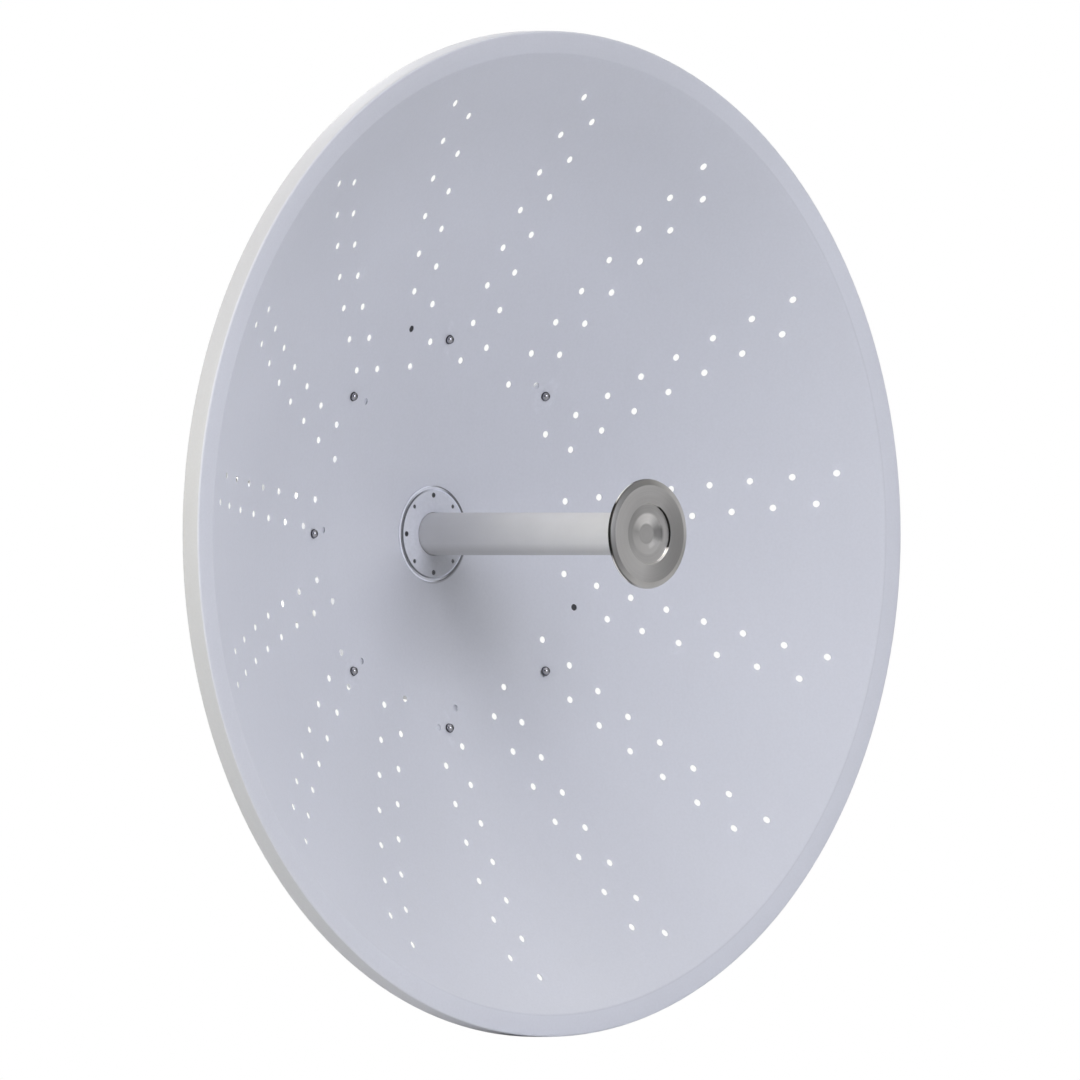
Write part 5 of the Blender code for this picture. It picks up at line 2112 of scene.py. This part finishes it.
@dataclass
class Fasteners:
    """Bolts, nuts and threaded rods of the two brackets."""

    shop: Workshop
    hub: RearHub
    sheet: float = 0.004
    bracket_front: float = -0.0163
    hub_bolt: HexBolt = HexBolt(0.0038, 0.013, 0.0055)
    cheek_bolt: HexBolt = HexBolt(0.0048, 0.017, 0.0065)
    cheek: float = 0.064
    pivot_y: float = 0.045
    pivot_z: float = -0.085
    mast_face: float = -0.134
    jaw_back: float = -0.200
    rod_x: float = 0.044
    rod_y: float = 0.050
    rod_radius: float = 0.005
    rod_end: float = -0.226
    rod_head: float = 0.005
    nut: float = 0.017
    nut_height: float = 0.008
    washer: float = 0.0098
    washer_height: float = 0.0016
    thread_depth: float = 0.0006
    thread_pitch: float = 0.0015

    def hub_bolts(self) -> None:
        """Four bolts from behind through the bracket's base into the pan."""
        bolt = self.hub_bolt.mesh(self.sheet + self.hub.sheet + 2 * GAP)
        mesh = self.shop.corners.run(
            moved(bolt, Matrix.Rotation(math.pi, 4, "X")), self.shop.material(STEEL),
            Across=2 * self.hub.bolt_x, Up=2 * self.hub.bolt_y, Height=self.bracket_front - self.sheet - GAP,
        )
        self.shop.hand_over("hub_bolts", mesh, STEEL, numbered("hub_bolt", 4))

    def cheek_bolts(self) -> None:
        """Pivot and locking bolts through both cheeks."""
        bolt = self.cheek_bolt.mesh(2 * self.sheet + GAP, GAP)
        for name, y in (("pivot", -self.pivot_y), ("elevation_lock", self.pivot_y)):
            pair = [
                moved(bolt, stood((side * self.cheek, y, self.pivot_z), side * QUARTER, "Y"))
                for side in (-1.0, 1.0)
            ]
            nodes = [f"left_{name}_bolt", f"right_{name}_bolt"]
            self.shop.hand_over(f"{name}_bolts", merged(name, pair), STEEL, nodes)

    def rod_mesh(self) -> Mesh:
        """One threaded rod with its head inside the channel.

        Returns:
            Rod, thread and head in one mesh.
        """
        seat = self.mast_face + self.sheet + GAP
        core = self.rod_radius - self.thread_depth
        length = seat - self.rod_end - 0.002
        shank = self.shop.thread.run(
            rod(core, self.rod_end, seat + 0.001), self.shop.material(STEEL), Core_Radius=core,
            Depth=self.thread_depth, Turns=length / self.thread_pitch, Length=length,
            Base=self.rod_end + 0.001, Steps=14,
        )
        return merged("clamp_rod", [shank, hex_head(self.nut, seat, seat + self.rod_head)])

    def nut_mesh(self) -> Mesh:
        """The nut and washer that draw a jaw in.

        Returns:
            Both in one mesh.
        """
        top = self.jaw_back - GAP
        under = top - self.washer_height
        bore = prism(24, self.rod_radius - self.thread_depth + 0.0002, top - 0.02, top + 0.01)
        nut = hex_head(self.nut, top - self.nut_height, under - SNUG, True)
        washer = ring_plate(self.rod_radius + FIT, self.washer, under, top)
        return merged("clamp_nut", [washer, combined(nut, Cut.DIFFERENCE, bore)])

    def build(self) -> None:
        """Make every fastener of the brackets."""
        self.hub_bolts()
        self.cheek_bolts()
        for name, mesh in (("clamp_rod", self.rod_mesh()), ("clamp_nut", self.nut_mesh())):
            four = self.shop.corners.run(
                mesh, self.shop.material(STEEL), Across=2 * self.rod_x, Up=2 * self.rod_y
            )
            self.shop.hand_over(f"{name}s", four, STEEL, numbered(name, 4))


@dataclass(frozen=True)
class SoftLight:
    """Large even lamp that no camera sees.

    Attributes:
        name: the lamp's name.
        place: where it hangs.
        aim: where it points.
        size: width and height.
        power: in watts.
        colour: its tint.
        beam: how wide its light opens.
    """

    name: str
    place: Place
    aim: Place
    size: Point
    power: float
    colour: Colour = (1.0, 1.0, 1.0)
    beam: float = math.pi

    def build(self) -> None:
        """Hang the lamp."""
        lamp = bpy.data.lights.new(self.name, "AREA")
        lamp.shape = "RECTANGLE"
        lamp.size, lamp.size_y = self.size
        lamp.energy = self.power
        lamp.color = self.colour
        lamp.spread = self.beam
        obj = linked(self.name, lamp)
        obj.location = self.place
        way = Vector(self.aim) - Vector(self.place)
        obj.rotation_euler = way.to_track_quat("-Z", "Y").to_euler()
        obj.visible_camera = False


@dataclass
class Studio:
    """Pale floor, soft lights and the camera at the photograph's angle.

    Attributes:
        fill: strength of the light from all round.
        middle: what the far lamps aim at.
        lamps: heading and height in degrees, power and colour of each far lamp.
        fills: small lamps behind the dish, for what shows through the wind holes.
    """

    axis: AxisFrame
    azimuth: float = math.radians(-45.641)
    frame_width: float = 0.96619
    shift_right: float = 0.0973
    shift_up: float = -0.0055
    distance: float = 3.0
    floor_drop: float = 0.0005
    floor_radius: float = 14.0
    floor_sides: int = 96
    fill: float = 0.04
    middle: Place = (0.0, -0.2, 0.0)
    lamp_distance: float = 3.0
    lamp_size: float = 1.3
    lamps: tuple[tuple[float, float, float, Colour], ...] = (
        (150.0, 10.0, 10.3, (1.0, 0.82, 0.35)),
        (180.0, 10.0, 18.5, (0.92, 1.0, 0.96)),
        (180.0, 35.0, 26.0, (1.0, 0.93, 0.87)),
        (210.0, 62.0, 17.0, (1.0, 0.98, 0.90)),
        (255.0, 20.0, 21.5, (0.89, 0.90, 1.0)),
        (270.0, 10.0, 17.0, (0.92, 0.94, 1.0)),
        (330.0, 35.0, 6.1, (1.0, 0.99, 0.87)),
        (330.0, 62.0, 20.3, (1.0, 0.99, 0.98)),
        (72.0, 35.0, 21.0, (0.97, 0.98, 1.0)),
    )
    fills: tuple[SoftLight, ...] = (
        SoftLight(
            "low_fill", (-0.44, 0.12, 0.0), (0.0, -0.03, 0.0), (0.3, 0.4), 0.35, beam=math.radians(70.0)
        ),
        SoftLight(
            "rod_fill", (-0.40, 0.02, 0.05), (0.02, 0.21, 0.05), (0.16, 0.08), 0.6, beam=math.radians(40.0)
        ),
        SoftLight("jaw_fill", (0.0, 0.0305, 0.05), (0.0, 0.062, 0.05), (0.11, 0.03), 0.013),
    )

    @property
    def towards(self) -> Place:
        """The way from the dish to the camera."""
        return math.sin(self.azimuth), -math.cos(self.azimuth), 0.0

    def floor(self) -> None:
        """Round pale floor just under the rim, a sheet without thickness."""
        low, _ = CAD_BOX
        sides = self.floor_sides
        rim = arc((0.0, 0.0), self.floor_radius, 0.0, FULL_TURN * (sides - 1) / sides, sides - 1)
        mesh = bpy.data.meshes.new("floor")
        mesh.from_pydata([(x, y, low.z - self.floor_drop) for x, y in rim], [], [tuple(range(sides))])
        pale = bpy.data.materials.new("pale_floor")
        pale.use_nodes = True
        shader = pale.node_tree.nodes["Principled BSDF"]
        wiring = Wiring(pale.node_tree)
        cloud = wiring.noise(wiring.node("ShaderNodeTexCoord").outputs["Object"], 2.5, 3.0).outputs[0]
        tone = wiring.tinted(cloud, (0.80, 0.80, 0.80, 1.0), (0.83, 0.83, 0.83, 1.0))
        wiring.feed(shader.inputs["Base Color"], tone)
        wiring.feed(shader.inputs["Roughness"], 0.9)
        mesh.materials.append(pale)
        obj = linked("floor", mesh)

    def world(self) -> None:
        """White for the camera, dim for light, and for reflections dark in front and bright behind."""
        world = bpy.data.worlds.new("studio")
        world.use_nodes = True
        world.node_tree.nodes.clear()
        wiring = Wiring(world.node_tree)
        way = wiring.node("ShaderNodeTexCoord").outputs["Generated"]
        front = wiring.spread(wiring.agreement(way, self.towards), 0.1, 0.9)
        sides = wiring.tinted(front, (0.60, 0.60, 0.61, 1.0), (0.10, 0.10, 0.10, 1.0))
        behind = wiring.spread(wiring.agreement(way, (0.0, 1.0, 0.0)), 0.2, 0.6)
        mirrored = wiring.tinted(behind, sides, (1.45, 1.45, 1.47, 1.0))
        lit, glossy, seen = [
            wiring.result("ShaderNodeBackground", {"Color": colour, "Strength": strength})
            for colour, strength in (
                ((0.80, 0.85, 1.0, 1.0), self.fill), (mirrored, 1.0), ((1.0, 1.0, 1.0, 1.0), 1.0)
            )
        ]
        rays = wiring.node("ShaderNodeLightPath").outputs
        shown = wiring.result("ShaderNodeMixShader", {0: rays["Is Glossy Ray"], 1: lit, 2: glossy})
        both = wiring.result("ShaderNodeMixShader", {0: rays["Is Camera Ray"], 1: shown, 2: seen})
        wiring.node("ShaderNodeOutputWorld", {"Surface": both})
        bpy.context.scene.world = world

    def camera(self) -> None:
        """Level camera without perspective, as far round to the left as the photograph's."""
        right = Vector((math.cos(self.azimuth), math.sin(self.azimuth), 0.0))
        aim = Vector((0.0, self.axis.vertex_y, self.shift_up)) + right * self.shift_right
        lens = bpy.data.cameras.new("camera")
        lens.type = "ORTHO"
        lens.ortho_scale = self.frame_width
        obj = linked("camera", lens)
        obj.location = aim + Vector(self.towards) * self.distance
        obj.rotation_euler = (QUARTER, 0.0, self.azimuth)
        bpy.context.scene.camera = obj

    def far_lamps(self) -> None:
        """Hang the large lamps round the dish."""
        for number, (turn, lift, power, colour) in enumerate(self.lamps, 1):
            heading, height = math.radians(turn), math.radians(lift)
            flat = math.cos(height)
            way = Vector((math.cos(heading) * flat, math.sin(heading) * flat, math.sin(height)))
            place = tuple(Vector(self.middle) + way * self.lamp_distance)
            size = (self.lamp_size, self.lamp_size)
            SoftLight(f"lamp_{number}", place, self.middle, size, power, colour).build()

    def build(self) -> None:
        """Set up the studio."""
        self.floor()
        self.world()
        self.camera()
        for fill in self.fills:
            fill.build()
        self.far_lamps()
        bpy.context.scene.view_settings.view_transform = "Standard"


def measured_axis() -> AxisFrame:
    """Find the dish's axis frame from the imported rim, whose band stands a known way out.

    Returns:
        The frame of the dish's axis.
    """
    curve, edge = Reflector.curve_radius, Reflector.bowl_edge
    band = curve - math.sqrt(curve ** 2 - edge ** 2) + Reflector.band_rise
    low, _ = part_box("reflector_rim")
    return AxisFrame(vertex_y=low.y + band)


def main() -> None:
    """Build the antenna, then the studio round it."""
    logging.basicConfig(level=logging.INFO, format="%(name)s: %(message)s")
    axis = measured_axis()
    shop = Workshop(axis)
    bowl = Reflector(shop)
    feed = Feed(shop, bowl)
    hub = RearHub(shop, bowl)
    for assembly in (
        bowl, ReflectorBolts(shop, bowl), feed, Subreflector(shop, feed), hub,
        FeedHousing(shop, bowl, feed), PlateWork(shop), Fasteners(shop, hub), Studio(axis),
    ):
        assembly.build()


if __name__ == "__main__":
    main()
